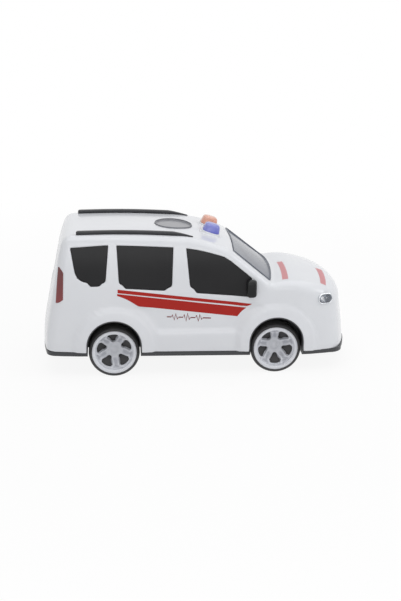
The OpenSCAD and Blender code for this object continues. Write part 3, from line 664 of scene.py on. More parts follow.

# %% [markdown]
# Wherever a sheet ends, its edge is rolled inwards with a small radius, because a moulded edge is never
# sharp. A finished piece is then scaled to metres, shaded smooth, given its material and hung on the body
# it rides on, and the solid it stands for is hidden.

# %% Rolled edges and finished pieces
def roll_edges(bm, radius, depth, steps=4):
    """Rolls each free edge of a sheet inwards and takes it straight down by a depth."""
    bm.normal_update()
    free = {}
    for e in bm.edges:
        if len(e.link_faces) == 1:
            loop = e.link_loops[0]
            free[loop.vert] = loop.link_loop_next.vert
    before = {b: a for a, b in free.items()}
    rings = {}
    for v, after in free.items():
        away = (after.co - before[v].co).normalized().cross(v.normal).normalized()
        ring = [v]
        for a in (math.pi / 2 * k / steps for k in range(1, steps + 1)):
            roll = away * math.sin(a) - v.normal * (1 - math.cos(a))
            ring.append(bm.verts.new(v.co + roll * radius))
        ring.append(bm.verts.new(v.co + away * radius - v.normal * (radius + depth)))
        rings[v] = ring
    for v, after in free.items():
        for k in range(steps + 1):
            bm.faces.new((rings[after][k], rings[v][k], rings[v][k + 1], rings[after][k + 1]))


def finish_piece(bm, name, material, node=None, body="vehicle"):
    """Turns a bmesh in millimetres into a smooth piece that rides on a body."""
    mesh = bpy.data.meshes.new(name)
    bm.to_mesh(mesh)
    bm.free()
    for v in mesh.vertices:
        v.co *= MM
    mesh.materials.append(material)
    mesh.shade_smooth()
    piece = bpy.data.objects.new(name, mesh)
    bpy.context.scene.collection.objects.link(piece)
    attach(piece, body)
    if node:
        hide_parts(node)
    return piece


def even_shade(piece):
    """Lets the large faces set the shading, so that slivers and rolled edges leave no marks."""
    piece.modifiers.new("even_shade", "WEIGHTED_NORMAL").weight = 90


print("sheet tools ready")

# %% [markdown]
# ## The white shell
# Three sheets make the skin: the two sides, with their window holes and wheel arches, and the ribbon over
# the roof, with holes for the screen, the rear window, the grille and the hatch. Strips of the bend sew
# them together. They share their edge points, so one merge closes the seams.

# %% Window outlines on the side
DOOR = [(-10.8, 128.6, 1.5), (3.5, 127.2, 6), (15, 124.1, 5), (35.2, 111.4, 8), (51.8, 96.6, 2),
        (48.6, 78.8, 1.5), (-1.5, 83.5, 2), (-3.7, 87.4, 1.5), (-7.4, 89.6, 2.5)]
MIDDLE = [(-76, 130.8, 1.5), (-22.6, 129.8, 1.5), (-24.4, 90.4, 3), (-28.6, 88.8, 1.5),
          (-31.4, 86.4, 1.5), (-68.6, 89.2, 1.5), (-70.8, 92.4, 1.5), (-74.5, 94.2, 3)]
QUARTER = [(-119.3, 128.8, 1.5), (-83.6, 130.7, 1.5), (-86.9, 96, 3), (-90.6, 94.4, 1.5),
           (-92.8, 91.9, 1.5), (-101.3, 91.8, 1.5), (-104.2, 95.6, 1.5), (-110.2, 97, 4), (-115.3, 103, 5)]
SIDE_STEP, ARCH_STEPS = 2.5, 30


def grown(loop, by):
    """A closed loop moved outwards along its corners' own directions."""
    area = sum(a[0] * b[1] - b[0] * a[1] for a, b in zip(loop, loop[1:] + loop[:1]))
    way = by if area > 0 else -by
    out = []
    for i, p in enumerate(loop):
        a, c = Vector(loop[i - 1]), Vector(loop[(i + 1) % len(loop)])
        d, e = (Vector(p) - a).normalized(), (c - Vector(p)).normalized()
        n = Vector((d.y + e.y, -d.x - e.x)).normalized()
        stretch = 1 / max(0.6, n.dot(Vector((d.y, -d.x))))
        out.append((p[0] + n.x * way * stretch, p[1] + n.y * way * stretch))
    return out


def lower_edge():
    """The sill and both arches, from the nose to the tail, one lip away from the real edge."""
    line, r = [turns[-1]], ARCH_R + LIP
    angles = [math.pi * k / ARCH_STEPS for k in range(1, ARCH_STEPS)]
    for x, z in ARCHES:
        line += [(x + r, sill_z(x + r) + LIP), (x + r, z)]
        line += [(x + r * math.cos(a), z + r * math.sin(a)) for a in angles]
        line += [(x - r, z), (x - r, sill_z(x - r) + LIP)]
    return filled(line + [turns[0]], 3, False)


side_holes = [grown(rounded_loop(corners), LIP) for corners in (DOOR, MIDDLE, QUARTER)]
side_grid = grid_points((-140, 142), (20, 136), SIDE_STEP)
side_flat = flat_sheet(turns + lower_edge()[1:-1], side_holes, side_grid)
print("side sheet:", len(side_flat[0]), "points,", len(side_flat[1]), "triangles")

# %% [markdown]
# The ribbon's holes are drawn in its own two numbers, so a straight-sided box follows the bow of the screen
# or the nose by itself. The hatch is a true circle on the roof, so its width is shared out by the ribbon's.

# %% Openings in the ribbon
HATCH_AT, HATCH_R, HATCH_STEPS = (-19.7, 137), 18, 48
ROWS = [t * ACROSS / 14 for t in range(-13, 14)]


def nearest(x, z):
    """Distance along the outline of the point next to a place."""
    return reach[min(range(len(outline)), key=lambda i: math.dist(outline[i][:2], (x, z)))]


def box_between(corner, low, high, half_low, half_high, bend):
    """Rounded box between two shares of the way from one corner of the outline to the next."""
    s0, s1 = (nearest(*lerp(CORNERS[corner], CORNERS[corner + 1], f)[:2]) for f in (low, high))
    t0, t1 = half_low * ACROSS, half_high * ACROSS
    return rounded_loop([(s0, -t0, bend), (s1, -t1, bend), (s1, t1, bend), (s0, t0, bend)], 6)


def hatch_loop(radius):
    loop = []
    for a in (math.tau * k / HATCH_STEPS for k in range(HATCH_STEPS)):
        s = nearest(*HATCH_AT) + radius * math.cos(a)
        loop.append((s, radius * math.sin(a) / half_at(s) * ACROSS))
    return loop


screen_loop = box_between(7, 0.09, 0.95, 0.93, 0.95, 1.6)
rear_loop = box_between(2, 0.24, 0.94, 0.5, 0.5, 6)
grille_loop = box_between(11, 0.4, 0.74, 0.6, 0.6, 3)
ribbon_loop = [(s, -ACROSS) for s in reach] + [(reach[-1], t) for t in ROWS]
ribbon_loop += [(s, ACROSS) for s in reversed(reach)] + [(reach[0], -t) for t in ROWS]
ribbon_holes = [grown(loop, LIP) for loop in (screen_loop, rear_loop, grille_loop)]
ribbon_holes.append(hatch_loop(HATCH_R + LIP))
ribbon_flat = flat_sheet(ribbon_loop, ribbon_holes, [(s, t) for s in reach[1:-1] for t in ROWS])
print("ribbon sheet:", len(ribbon_flat[0]), "points,", len(ribbon_flat[1]), "triangles")

# %% [markdown]
# The headlights sit in the bend between nose and side, turned outwards. Their holes cross three sheets, so
# they are not drawn flat: the sewn skin is made finer there, and the faces inside the lamp's outline go.

# %% Where the headlights sit
LAMP_X, LAMP_Z, LAMP_TURN = 122.8, 74.5, math.radians(18)
LAMP_Y = plain_half(LAMP_X, LAMP_Z) + 0.4
LAMP_LONG, LAMP_HIGH = 14, 9.4
LAMP_REACH, FINE_REACH, HOLE_INSET = 6, 2, 0.1
FAR_AWAY = 100


def at_lamp(side, u, v, w):
    """A point in the lamp's own frame: u forwards, v up, w out of the lamp."""
    c, s = math.cos(LAMP_TURN), math.sin(LAMP_TURN)
    return Vector((LAMP_X + u * c + w * s, side * (LAMP_Y - u * s + w * c), LAMP_Z + v))


def past_lamp(side, place):
    """How far a place on the skin lies outside the lamp's round-ended outline."""
    c, s = math.cos(LAMP_TURN), math.sin(LAMP_TURN)
    dx, dy = place.x - LAMP_X, side * place.y - LAMP_Y
    u, w = dx * c - dy * s, dx * s + dy * c
    if abs(w) > LAMP_REACH:
        return FAR_AWAY
    return math.hypot(max(abs(u) - (LAMP_LONG - LAMP_HIGH) / 2, 0), place.z - LAMP_Z) - LAMP_HIGH / 2


def open_lamps(bm):
    """Makes the skin finer round each headlight and takes away what would hide the bowl."""
    for side, _ in HANDS:
        near = [e for e in bm.edges if min(past_lamp(side, v.co) for v in e.verts) < FINE_REACH]
        bmesh.ops.subdivide_edges(bm, edges=near, cuts=3, use_grid_fill=True)
        hidden = [f for f in bm.faces if past_lamp(side, f.calc_center_median()) < -HOLE_INSET]
        bmesh.ops.delete(bm, geom=hidden, context="FACES")


print("headlight out from the middle:", round(LAMP_Y, 1))

# %% [markdown]
# Now the skin is sewn. Merging the shared points comes first, then all faces are turned outwards, the free
# edges are rolled, and the headlights are opened last, so that their cut edges stay hidden by the bowls.

# %% Sew the shell
BEND_STEPS, EDGE_DEEP, SEAM = 8, 1.8, 0.01


def bend_strip(bm, side):
    """The strip that joins the ribbon to one side."""
    rows = [[bm.verts.new(on_bend(i, side, k / BEND_STEPS)) for k in range(BEND_STEPS + 1)]
            for i in range(len(outline))]
    for a, b in zip(rows, rows[1:]):
        for k in range(BEND_STEPS):
            quad = (a[k], b[k], b[k + 1], a[k + 1])
            bm.faces.new(quad if side == LEFT else quad[::-1])


def sew_shell():
    bm = bmesh.new()
    for side, _ in HANDS:
        lift_sheet(bm, side_flat, side_lift(side), side == LEFT)
        bend_strip(bm, side)
    lift_sheet(bm, ribbon_flat, top_lift(), True)
    bmesh.ops.remove_doubles(bm, verts=bm.verts, dist=SEAM)
    bmesh.ops.recalc_face_normals(bm, faces=bm.faces)
    highest = max(bm.faces, key=lambda f: f.calc_center_median().z)
    if highest.normal.z < 0:
        bmesh.ops.reverse_faces(bm, faces=bm.faces)
    roll_edges(bm, LIP, EDGE_DEEP)
    open_lamps(bm)
    return bm


shell = finish_piece(sew_shell(), "white_shell", WHITE, "body_shell")
print("shell:", len(shell.data.vertices), "points,", len(shell.data.polygons), "faces")

# %% [markdown]
# ## Panes
# The panes are opaque plastic, set half a millimetre below the body. A pane is the same kind of sheet as
# the shell, a hair smaller than its hole, lifted to a place just under the surface. Only the rear window is
# a plate behind its opening, so the edge of the tail stays white from the side.

# %% Side panes, screen, rear window and hatch
SUNK, BEHIND = -0.5, -3.1
PANE_GAP, REAR_OVERLAP = 0.5, 1.5
PANE_ROLL, PANE_DEEP = 0.35, 1.2


def whole_sheet(loop, step=3.0):
    """A flat sheet without holes inside a loop."""
    xs, ys = zip(*loop)
    return flat_sheet(loop, [], grid_points((min(xs), max(xs)), (min(ys), max(ys)), step))


def pane(node, flat, lift, material, flip):
    bm = bmesh.new()
    lift_sheet(bm, flat, lift, flip)
    roll_edges(bm, PANE_ROLL, PANE_DEEP, 3)
    even_shade(finish_piece(bm, "pane_" + node, material, node))


for word, corners in (("door", DOOR), ("middle", MIDDLE), ("quarter", QUARTER)):
    flat = whole_sheet(grown(rounded_loop(corners), -PANE_GAP))
    for side, hand in HANDS:
        pane(f"{word}_window_{hand}", flat, side_lift(side, SUNK), PANE, side == LEFT)

TOP_PANES = [("windscreen", grown(screen_loop, -PANE_GAP), SCREEN_PAINTED_GLARE, "screen_glazing", SUNK),
             ("rear_window", grown(rear_loop, REAR_OVERLAP), PANE, "dark_glazing", BEHIND),
             ("roof_hatch", hatch_loop(HATCH_R - PANE_GAP), HATCH_PAINTED_REFLECTION, "dark_glazing", SUNK)]
for node, loop, material, slot, out in TOP_PANES:
    pane(node, whole_sheet(loop), top_lift(out), material, True)

# %% [markdown]
# ## Red prints
# The stripes are printed film on the door side and on the hood. Film is thin, so each print is a sheet that
# floats less than a tenth of a millimetre over the shell and follows its every bend. A picture mapped onto
# the shell would need a very fine one to keep these edges sharp.

# %% Stripes and pulse line on the sides
FILM, FILM_STEP = 0.08, 1.6
THIN_STRIPE = [(-75.8, 88.8, 0), (51.5, 71.9, 0), (46.8, 69.4, 0), (-75.9, 85.4, 0)]
BROAD_BAND = [(-76.4, 84.6, 0), (46.3, 67.9, 0), (42, 64.5, 3), (37.8, 59.1, 0), (-56.9, 71.9, 3),
              (-61.5, 75.4, 3), (-69, 80, 6), (-76.4, 82.7, 0)]
PULSE = [(-29.5, 0), (-25.5, 0), (-24.4, 2.4), (-22.6, -3.2), (-21, 3.6), (-19.4, -2.2), (-18, 0),
         (-14.4, 0), (-13.2, 3), (-11.4, -4), (-9.6, 4.4), (-8, -2.4), (-6.8, 0), (-2.6, 0), (-1.4, 2.6),
         (0.4, -3.6), (2, 3.4), (3.6, -1.8), (5, 0), (12.4, 0)]
PULSE_Z, PULSE_FALL, PULSE_HALF = 58.6, 0.055, 0.55


def ribbon_of(path, half):
    """Closed loop round a thin line."""
    ups, downs = [], []
    for i, p in enumerate(path):
        a, c = Vector(path[max(0, i - 1)]), Vector(path[min(len(path) - 1, i + 1)])
        d = (c - a).normalized() * half
        ups.append((p[0] - d.y, p[1] + d.x))
        downs.append((p[0] + d.y, p[1] - d.x))
    return ups + downs[::-1]


def film(name, loop, lift, flip, ink):
    bm = bmesh.new()
    lift_sheet(bm, whole_sheet(loop, FILM_STEP), lift, flip)
    even_shade(finish_piece(bm, name, ink))


pulse_loop = ribbon_of([(x, PULSE_Z - PULSE_FALL * x + h) for x, h in PULSE], PULSE_HALF)
SIDE_PRINTS = [("thin_stripe", rounded_loop(THIN_STRIPE), RED),
               ("broad_band", rounded_loop(BROAD_BAND), RED),
               ("pulse_line", filled(pulse_loop, 2, True), DEEP)]
for side, hand in HANDS:
    for name, loop, ink in SIDE_PRINTS:
        film(f"{name}_{hand}", loop, side_lift(side, FILM), side == LEFT, ink)
print("prints on each side:", [name for name, _, _ in SIDE_PRINTS])

# %% Bars on the hood
HOOD_BARS = [("hood_bar_rear", (79.6, 93), (85.8, 93), -0.94, 0.16, 1.6),
             ("hood_bar_front", (116, 87), (122, 87), -0.98, -0.08, 3)]
for name, back, front, near, far, slant in HOOD_BARS:
    s0, s1, t0, t1 = nearest(*back), nearest(*front), near * ACROSS, far * ACROSS
    bar = filled([(s0 + slant, t0), (s1 + slant, t0), (s1, t1), (s0, t1)], FILM_STEP, True)
    film(name, bar, top_lift(FILM), True, FADED)
print("prints on the hood:", [name for name, *_ in HOOD_BARS])

# %% [markdown]
# ## Wheels
# A wheel is a turned part first of all: a profile of radius and depth, spun about the axle. Blender's Screw
# modifier would spin it too, but plain rings of points can be joined to other faces in the same mesh. The
# tyre has a stepped side wall, and behind the spokes a dark web, painted shade for the inside of the wheel,
# closes the view into the car.

# %% Spun profiles and tyres
AXLE_Z, WHEEL_FACE = 24.5, 53.5
WHEELS = [("front", FRONT_X, RIGHT, "right", 55), ("front", FRONT_X, LEFT, "left", 20),
          ("rear", REAR_X, RIGHT, "right", 23), ("rear", REAR_X, LEFT, "left", 62)]
TYRE_STEPS, SHOULDER_AT, SHOULDER_R = 96, 22.3, 2.2
WALL = [(21.65, 1.7), (21.65, 0.7), (21.9, 0.45), (SHOULDER_AT, 0.4)]
# The web is a dark sheet behind the spokes: painted shade for the inside of the wheel.
SHADE_WEB = [(18.15, 7.6), (15, 9), (10, 12), (6.6, 13.6)]


def join_rings(bm, rings):
    """Faces between each ring of points and the next."""
    for a, b in zip(rings, rings[1:]):
        for k in range(len(a)):
            j = (k + 1) % len(a)
            bm.faces.new((a[k], a[j], b[j], b[k]))


def spin_profile(bm, profile, steps, place):
    """Skin of a profile of radius and depth. place() turns radius, angle and depth into a point."""
    angles = [math.tau * k / steps for k in range(steps)]
    join_rings(bm, [[bm.verts.new(place(r, a, d)) for a in angles] for r, d in profile])


def shoulder(depth, start, steps):
    """A quarter turn of the tyre's edge, from a starting angle in degrees."""
    angles = [math.radians(start + 90 * k / steps) for k in range(steps + 1)]
    return [(SHOULDER_AT + SHOULDER_R * math.cos(a), depth + SHOULDER_R * math.sin(a)) for a in angles]


def at_wheel(x, side):
    """Depth 0 is the outer face of the wheel and grows towards the middle of the car."""
    return lambda r, a, d: Vector((x + r * math.cos(a), side * (WHEEL_FACE - d), AXLE_Z + r * math.sin(a)))


def spin_tyre(x, side):
    bm = bmesh.new()
    tyre = WALL + shoulder(2.6, 270, 8) + shoulder(16.8, 0, 6) + [(20.3, 19)]
    for profile in (tyre, SHADE_WEB):
        spin_profile(bm, profile, TYRE_STEPS, at_wheel(x, side))
    bmesh.ops.recalc_face_normals(bm, faces=bm.faces)
    return bm


for end, x, side, hand, turn in WHEELS:
    tyre = finish_piece(spin_tyre(x, side), f"soft_tyre_{end}_{hand}", TYRE,
                        f"tyre_{end}_{hand}", f"{end}_wheels")
print("tyre points:", len(tyre.data.vertices))

# %% [markdown]
# A rim is turned and pierced: a bright outer ring, a deep barrel, and five broad spokes that fall back to a
# domed hub. The spokes are a pierced sheet, made with the same tools as the shell. Each hole has a raised
# rib round it, and between two ribs the spoke is pressed in. The same formula marks the pressed places for
# the painted shade of the hollows, as an attribute on the points.

# %% Rims with five pressed spokes
SPOKES = 5
SPOKE_TURN = 360 / SPOKES
RIB, HOLLOW_DEEP = 1.1, 0.8
BARREL_R, RIM_STEPS, BARREL_STEPS, SPOKE_STEP = 18.2, 72, 90, 0.9
HOLE = [(6.9, 13, 1.6), (14.8, 27.5, 2.2), (17.3, 18, 2.2), (17.8, 0, 3)]
RING = [(BARREL_R, 18), (BARREL_R, 3.4), (18.0, 2.0), (18.15, 1.0), (18.7, 0.35), (19.4, 0.1), (20.6, 0.05),
        (21.2, 0.2), (21.5, 0.6), (21.5, 1.5), (20.3, 1.7), (20.3, 18), (BARREL_R, 18)]
HUB = [(6.5, 12.5), (6.5, 22.5), (2.1, 22.5), (2.1, 14.5)]


def dish(radius):
    """Depth of the spokes' front face, from the domed hub out to the ring."""
    return 4.0 + 6.2 * (1 - ease(radius, 4.5, 19)) - 1.9 * (1 - ease(radius, 0.5, 6))


def hole_half(radius):
    """Half the angle that a hole takes up at a radius."""
    for (r0, a0, _), (r1, a1, _) in zip(HOLE, HOLE[1:]):
        if r0 <= radius <= r1:
            return a0 + (a1 - a0) * (radius - r0) / (r1 - r0)
    return 0


def hollow_at(x, y, hole_turn):
    """One in the pressed middle of a spoke, zero on the ribs and on the hub."""
    radius = math.hypot(x, y)
    fold = ((math.degrees(math.atan2(y, x)) - hole_turn) / SPOKE_TURN - 0.5) % 1
    off = math.radians(min(fold, 1 - fold) * SPOKE_TURN) * radius
    room = math.radians(SPOKE_TURN / 2 - hole_half(radius)) * radius - RIB
    return ease(room - off, 0, 0.9) * ease(radius, 7.5, 9.5) * (1 - ease(radius, 17, 18))


def spoke_face(x, y, hole_turn):
    """Radius, angle and depth on the spoke face."""
    radius = math.hypot(x, y)
    return radius, math.atan2(y, x), dish(radius) + HOLLOW_DEEP * hollow_at(x, y, hole_turn)


def polar(radius, degrees):
    a = math.radians(degrees)
    return radius * math.cos(a), radius * math.sin(a)


def hole_loop(turn):
    """A rounded wedge between two spokes."""
    wedge = [(r, -a, bend) for r, a, bend in HOLE] + HOLE[2::-1]
    return rounded_loop([(*polar(r, turn + a), bend) for r, a, bend in wedge], 4, 1.2)


def build_rim(x, side, turn):
    bm = bmesh.new()
    place = at_wheel(x, side)
    edge = [polar(BARREL_R, 360 * k / BARREL_STEPS) for k in range(BARREL_STEPS)]
    holes = [hole_loop(turn + SPOKE_TURN * k) for k in range(SPOKES)]
    flat = flat_sheet(edge, holes, grid_points((-18, 18), (-18, 18), SPOKE_STEP))
    lift_sheet(bm, flat, lambda u, v: place(*spoke_face(u, v, turn)), side == LEFT)
    roll_edges(bm, 0.6, 2.6)
    for profile in (RING, HUB):
        spin_profile(bm, profile, RIM_STEPS, place)
    bmesh.ops.recalc_face_normals(bm, faces=bm.faces)
    return bm


for end, x, side, hand, turn in WHEELS:
    rim = finish_piece(build_rim(x, side, turn), f"spoked_rim_{end}_{hand}", RIM,
                       f"rim_{end}_{hand}", f"{end}_wheels")
    # The attribute carries the painted shade of the spokes' hollows to the rim's paint.
    hollow_shade = rim.data.attributes.new("hollow_shade", "FLOAT", "POINT")
    for v, mark in zip(rim.data.vertices, hollow_shade.data):
        mark.value = hollow_at(v.co.x / MM - x, v.co.z / MM - AXLE_Z, turn)
print("rim faces:", len(rim.data.polygons))

# %% [markdown]
# ## Base, axles and screws
# These solids already have their true shape, so they stay. A narrow bevel lets their edges catch the light,
# and each takes its finish.

# %% Dress the solids that stay
def dress(node, material, bevel):
    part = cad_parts[node]
    part.data.materials.clear()
    part.data.materials.append(material)
    soft = part.modifiers.new("soft_edges", "BEVEL")
    soft.width, soft.segments, soft.limit_method = bevel * MM, 2, "ANGLE"
    soft.angle_limit = math.radians(40)


dress("chassis_base", BASE, 0.5)
for node in ("front_axle", "rear_axle", "chassis_screws"):
    dress(node, STEEL, 0.15)
print("dressed the base, the axles and the screws")

# %% [markdown]
# ## Roof trim
# The rails are long black mouldings that taper to a point at the front. A bevelled curve would keep one
# section all along, so each rail is a row of rounded cross-sections, joined ring to ring, that shrink
# towards the front and stand on the roof as it falls.

# %% Roof rails
ROOF_FROM = 110
RAIL_REAR, RAIL_POINT, RAIL_TAPER = -113.5, -3, 22
RAIL_Y, RAIL_ACROSS, RAIL_HIGH, RAIL_HALF, RAIL_ROUND = 42, 0.97, 3.2, 2.0, 0.9


def roof_z(x, t):
    """Height of the roof at x, and at t across it."""
    roof = [k for k, p in enumerate(outline) if p[1] > ROOF_FROM]
    i = min(roof, key=lambda k: abs(outline[k][0] - x))
    a, b = outline[i - 1], outline[i + 1]
    q = lerp(a, b, (x - a[0]) / (b[0] - a[0]))
    return q[1] + q[5] * (1 - t * t)


def loft(sections):
    """Closed skin through a row of equal cross-section loops, with flat ends."""
    bm = bmesh.new()
    rings = [[bm.verts.new(p) for p in loop] for loop in sections]
    join_rings(bm, rings)
    bm.faces.new(rings[0])
    bm.faces.new(rings[-1][::-1])
    bmesh.ops.recalc_face_normals(bm, faces=bm.faces)
    return bm


def rail_section(x, side, share):
    """Cross-section of a rail: a low box with rounded shoulders."""
    foot, top = roof_z(x, RAIL_ACROSS) + 0.1, roof_z(x, RAIL_ACROSS) + 0.3 + RAIL_HIGH * share
    half, r = RAIL_HALF * (0.35 + 0.65 * share), RAIL_ROUND * share
    outer = [(half, foot), (half, top - r)]
    outer += [(half - r + r * math.cos(a), top - r + r * math.sin(a)) for a in (0.4, 0.8, 1.2, 1.57)]
    shape = [(-y, z) for y, z in outer] + outer[::-1]
    return [Vector((x, side * RAIL_Y + y, z)) for y, z in shape]


def build_rail(side):
    stations = [RAIL_REAR, -113.2, -112.6, -111.5] + [-110 + 3 * k for k in range(35)] + [-3.6]
    shares = [min(1, 0.12 + (RAIL_POINT - x) / RAIL_TAPER) * min(1, 0.72 + (x - RAIL_REAR) / 4)
              for x in stations]
    return loft([rail_section(x, side, share) for x, share in zip(stations, shares)])


for side, hand in HANDS:
    rail = finish_piece(build_rail(side), f"long_rail_{hand}", TRIM, f"roof_rail_{hand}")
print("rail top:", round(max(v.co.z for v in rail.data.vertices) / MM, 1))

# %% [markdown]
# The beacons are small tinted boxes on white feet, where the roof begins to fall. Both are stacks of
# rounded rectangles, so the foot can spread onto the roof and the cap can draw in towards its top, and they
# lean with the roof below them.

# %% Beacons: white feet and tinted caps
BEACON_X, BEACON_Y, BEACON_T = 14.6, 14.5, 0.33
BEACON_LONG, BEACON_WIDE = 17, 15
beacon_slope = math.atan((roof_z(BEACON_X + 3, BEACON_T) - roof_z(BEACON_X - 3, BEACON_T)) / 6)
# height, shrink all round, corner
FOOT = [(-0.6, -2.2, 6.5), (0.3, -1.6, 6), (0.9, -0.9, 5.6), (1.6, -0.6, 5.4), (2.3, -0.6, 5.4),
        (2.6, -0.3, 5.2)]
CAP = [(2.5, 0.2, 5), (3.4, 0.25, 5), (6.2, 0.7, 4.8), (8.6, 1.3, 4.6), (9.7, 1.9, 4.4), (10.3, 2.8, 4.2),
       (10.7, 4.2, 3)]


def rounded_rect(length, width, corner, steps=6):
    loop = []
    for cx, cy, start in ((1, 1, 0), (-1, 1, 90), (-1, -1, 180), (1, -1, 270)):
        for a in (math.radians(start + 90 * k / steps) for k in range(steps + 1)):
            loop.append((cx * (length / 2 - corner) + corner * math.cos(a),
                         cy * (width / 2 - corner) + corner * math.sin(a)))
    return loop


def at_beacon(side, u, v, w):
    """A point in the beacon's own frame: u along the roof, v across, w off the roof."""
    c, s = math.cos(beacon_slope), math.sin(beacon_slope)
    up = roof_z(BEACON_X, BEACON_T)
    return Vector((BEACON_X + u * c - w * s, side * BEACON_Y + v, up + u * s + w * c))


def stack(side, levels):
    sections = []
    for w, shrink, corner in levels:
        loop = rounded_rect(BEACON_LONG - 2 * shrink, BEACON_WIDE - 2 * shrink, corner)
        sections.append([at_beacon(side, u, v, w) for u, v in loop])
    return loft(sections)


for (side, hand), lens, slot in zip(HANDS, (BLUE, ORANGE), ("lens_blue", "lens_orange")):
    finish_piece(stack(side, FOOT), f"beacon_foot_{hand}", WHITE, f"beacon_base_{hand}")
    finish_piece(stack(side, CAP), f"beacon_cap_{hand}", lens, f"beacon_lens_{hand}")
print("beacon slope:", round(math.degrees(beacon_slope), 1))

# %% [markdown]
# ## Arch lips
# The black base reaches up round each wheel, and its edge shows as a dark line inside the white arch. A
# torus would not do, because the arch stands on two straight legs. So a small rounded cross-section is
# lofted from foot to foot, always pointing at the wheel, with room left for the tyre to turn.

# %% Black lips inside the wheel arches
LIP_DEEP, LIP_THICK, LIP_FOOT = 5.5, 0.95, 2.4
LIP_GAP, LIP_SUNK = 0.1, 0.25


def arch_line(arch, radius):
    """Places along an arch with the direction towards the wheel, from the front foot to the rear foot."""
    x, z = arch
    legs = [[(x + way * radius, z + (sill_z(x + way * radius) - LIP_FOOT - z) * k / 3, -way, 0)
             for k in (3, 2, 1)] for way in (1, -1)]
    bow = [(x + radius * math.cos(a), z + radius * math.sin(a), -math.cos(a), -math.sin(a))
           for a in (math.pi * k / 40 for k in range(41))]
    return legs[0] + bow + legs[1][::-1]


def arch_lip(arch, side):
    sections = []
    for x, z, to_x, to_z in arch_line(arch, ARCH_R - LIP_GAP):
        face = side_half(x, max(z, sill_z(x))) - LIP_SUNK
        shape = [(0, face - LIP_DEEP), (0, face - 0.3), (0.12, face - 0.08), (0.35, face), (0.6, face),
                 (0.83, face - 0.08), (LIP_THICK, face - 0.3), (LIP_THICK, face - LIP_DEEP)]
        sections.append([Vector((x + to_x * d, side * y, z + to_z * d)) for d, y in shape])
    return loft(sections)


for arch, end in zip(ARCHES, ("front", "rear")):
    for side, hand in HANDS:
        lip = finish_piece(arch_lip(arch, side), f"arch_lip_{end}_{hand}", BASE)
print("arch lip points:", len(lip.data.vertices))

# %% [markdown]
# ## Headlights
# A headlight is a bright bowl with two round bulbs behind a cover that is clear at the back and dark
# towards the nose, a painted dark reflection. Bowl and cover are rings of the same slot outline, each a
# little smaller and deeper than the last, so their edges meet all the way round.

# %% Bowls, bulbs and covers
# shrink all round, height out of the lamp
BOWL = [(-0.7, -1.2), (-0.7, 0.2), (-0.45, 0.6), (0, 0.7), (0.45, 0.45), (0.6, -0.2), (1.2, -1.4),
        (2.1, -2.4), (3.2, -3)]
GLAZE = [(0.7, -0.1), (0.75, 0.35), (1.2, 0.75), (2, 1.05), (3.2, 1.2)]
# share of the radius, height out of the lamp
BULB = [(1, -3), (1, -1.6), (0.92, -1.1), (0.7, -0.75), (0.35, -0.55)]
BULB_TIP, BULB_STEPS = (0.05, -0.5), 24
# place along the lamp, radius
BULBS = [(-2.5, 2.2), (2.4, 1.8)]


def slot_loop(length, height, steps=14):
    """A slot with round ends."""
    r, c = height / 2, (length - height) / 2
    angles = [math.pi * (k / steps - 0.5) for k in range(steps + 1)]
    return [(way * (c + r * math.cos(a)), way * r * math.sin(a)) for way in (1, -1) for a in angles]


def lamp_skin(side, levels, bulbs=()):
    bm = bmesh.new()
    rings = []
    for shrink, w in levels:
        loop = slot_loop(LAMP_LONG - 2 * shrink, LAMP_HIGH - 2 * shrink)
        rings.append([bm.verts.new(at_lamp(side, u, v, w)) for u, v in loop])
    join_rings(bm, rings)
    bm.faces.new(rings[-1])
    for u, radius in bulbs:
        profile = [(radius * share, w) for share, w in BULB] + [BULB_TIP]
        spin_profile(bm, profile, BULB_STEPS,
                     lambda r, a, w: at_lamp(side, u + r * math.cos(a), r * math.sin(a), w))
    bmesh.ops.recalc_face_normals(bm, faces=bm.faces)
    return bm


for side, hand in HANDS:
    bowl, cover = lamp_skin(side, BOWL, BULBS), lamp_skin(side, GLAZE)
    finish_piece(bowl, f"headlight_bowl_{hand}", CHROME, f"headlight_housing_{hand}")
    finish_piece(cover, f"headlight_cover_{hand}", COVER, f"headlight_lens_{hand}")
print("bulbs in each bowl:", len(BULBS))

# %% [markdown]
# ## Tail lights
# A tail light is a red strip that wraps the rear corner. It is lifted from the bend itself, so it follows
# the corner however the body turns there, and its ends are cut back towards the side of the car.

# %% Tail lights wrapped round the rear corners
TAIL_FOOT, TAIL_HEAD = (-138, 77), (-132, 111)
TAIL_COLUMNS, TAIL_ROWS = 10, 16
TAIL_CUT, TAIL_PROUD = 4.2, 0.55


def on_corner(s, side, f, out):
    """A place on the bend at any distance along the outline."""
    i, share = along(s)
    return on_bend(i, side, f, out).lerp(on_bend(i + 1, side, f, out), share)


def tail_strip(side):
    low, high = nearest(*TAIL_FOOT), nearest(*TAIL_HEAD)
    bm = bmesh.new()
    columns = []
    for over in (k / TAIL_COLUMNS for k in range(TAIL_COLUMNS + 1)):
        cut, column = TAIL_CUT * over ** 1.6, []
        for up in (m / TAIL_ROWS for m in range(TAIL_ROWS + 1)):
            s, f = low + cut + (high - low - 2 * cut) * up, 0.62 + 0.38 * over - (0.22 - 0.06 * over) * up
            column.append(bm.verts.new(on_corner(s, side, f, TAIL_PROUD)))
        columns.append(column)
    for a, b in zip(columns, columns[1:]):
        for m in range(TAIL_ROWS):
            quad = (a[m], a[m + 1], b[m + 1], b[m])
            bm.faces.new(quad if side == LEFT else quad[::-1])
    roll_edges(bm, 0.5, 1.0)
    return bm


for side, hand in HANDS:
    strip = finish_piece(tail_strip(side), f"tail_strip_{hand}", TAIL, f"tail_light_{hand}")
print("tail strip points:", len(strip.data.vertices))

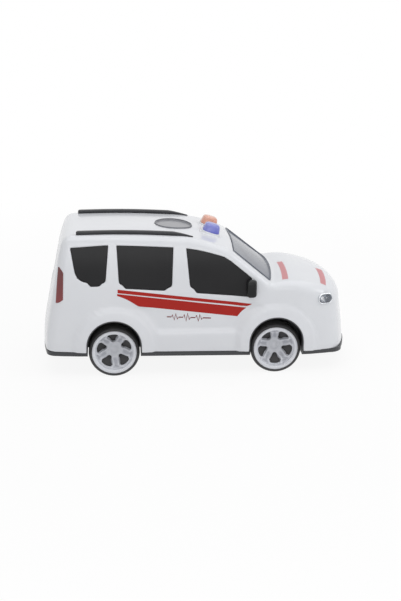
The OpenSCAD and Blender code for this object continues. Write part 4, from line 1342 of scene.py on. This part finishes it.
# %% [markdown]
# ## Mirrors and grille
# The mirrors are plain black pods that lean back from the corner of the door pane: a loft again, from a
# narrow neck at the door to the rounded outer face. The grille is a dark slot whose bars are a wave in the
# sheet itself, because separate bars this thin would only add faces.

# %% Door mirrors
MIRROR_X, MIRROR_Z, MIRROR_ROOT = 51.4, 88, 52.2
MIRROR_LONG, MIRROR_HIGH, MIRROR_CORNER = 9, 17, 3
# distance from the door, scale, lean to the rear
MIRROR = [(-0.6, 0.55, 0), (0.6, 0.72, 0), (1.6, 0.9, 0), (2.6, 1, 0.1), (5.4, 1, 0.5), (6.8, 0.94, 0.8),
          (7.6, 0.82, 1), (8.0, 0.6, 1.1)]


def mirror_pod(side):
    door = plain_half(MIRROR_ROOT, MIRROR_Z)
    sections = []
    for out, scale, lean in MIRROR:
        loop = rounded_rect(MIRROR_LONG * scale, MIRROR_HIGH * scale, MIRROR_CORNER * scale)
        sections.append([Vector((MIRROR_X + u - lean, side * (door + out), MIRROR_Z + v)) for u, v in loop])
    return loft(sections)


for side, hand in HANDS:
    pod = finish_piece(mirror_pod(side), f"mirror_pod_{hand}", POD, f"mirror_{hand}")
print("mirror reach:", round(max(abs(v.co.y) for v in pod.data.vertices) / MM, 1))

# %% Grille slot with bars
BARS, BAR_BACK, BAR_DEEP, GRILLE_STEP = 4, 1.7, 0.9, 0.8


def grille_face():
    bm = bmesh.new()
    loop = grown(grille_loop, -PANE_GAP)
    s0, s1 = min(p[0] for p in loop), max(p[0] for p in loop)

    def lift(s, u):
        wave = abs(((s - s0) / (s1 - s0) * BARS) % 1 - 0.5) * 2
        return on_top(s, u / ACROSS, -BAR_BACK - BAR_DEEP * ease(wave, 0.35, 0.75))

    lift_sheet(bm, whole_sheet(loop, GRILLE_STEP), lift, True)
    roll_edges(bm, 0.3, 1.0, 3)
    return bm


finish_piece(grille_face(), "grille_bars", TRIM, "grille")

# %% [markdown]
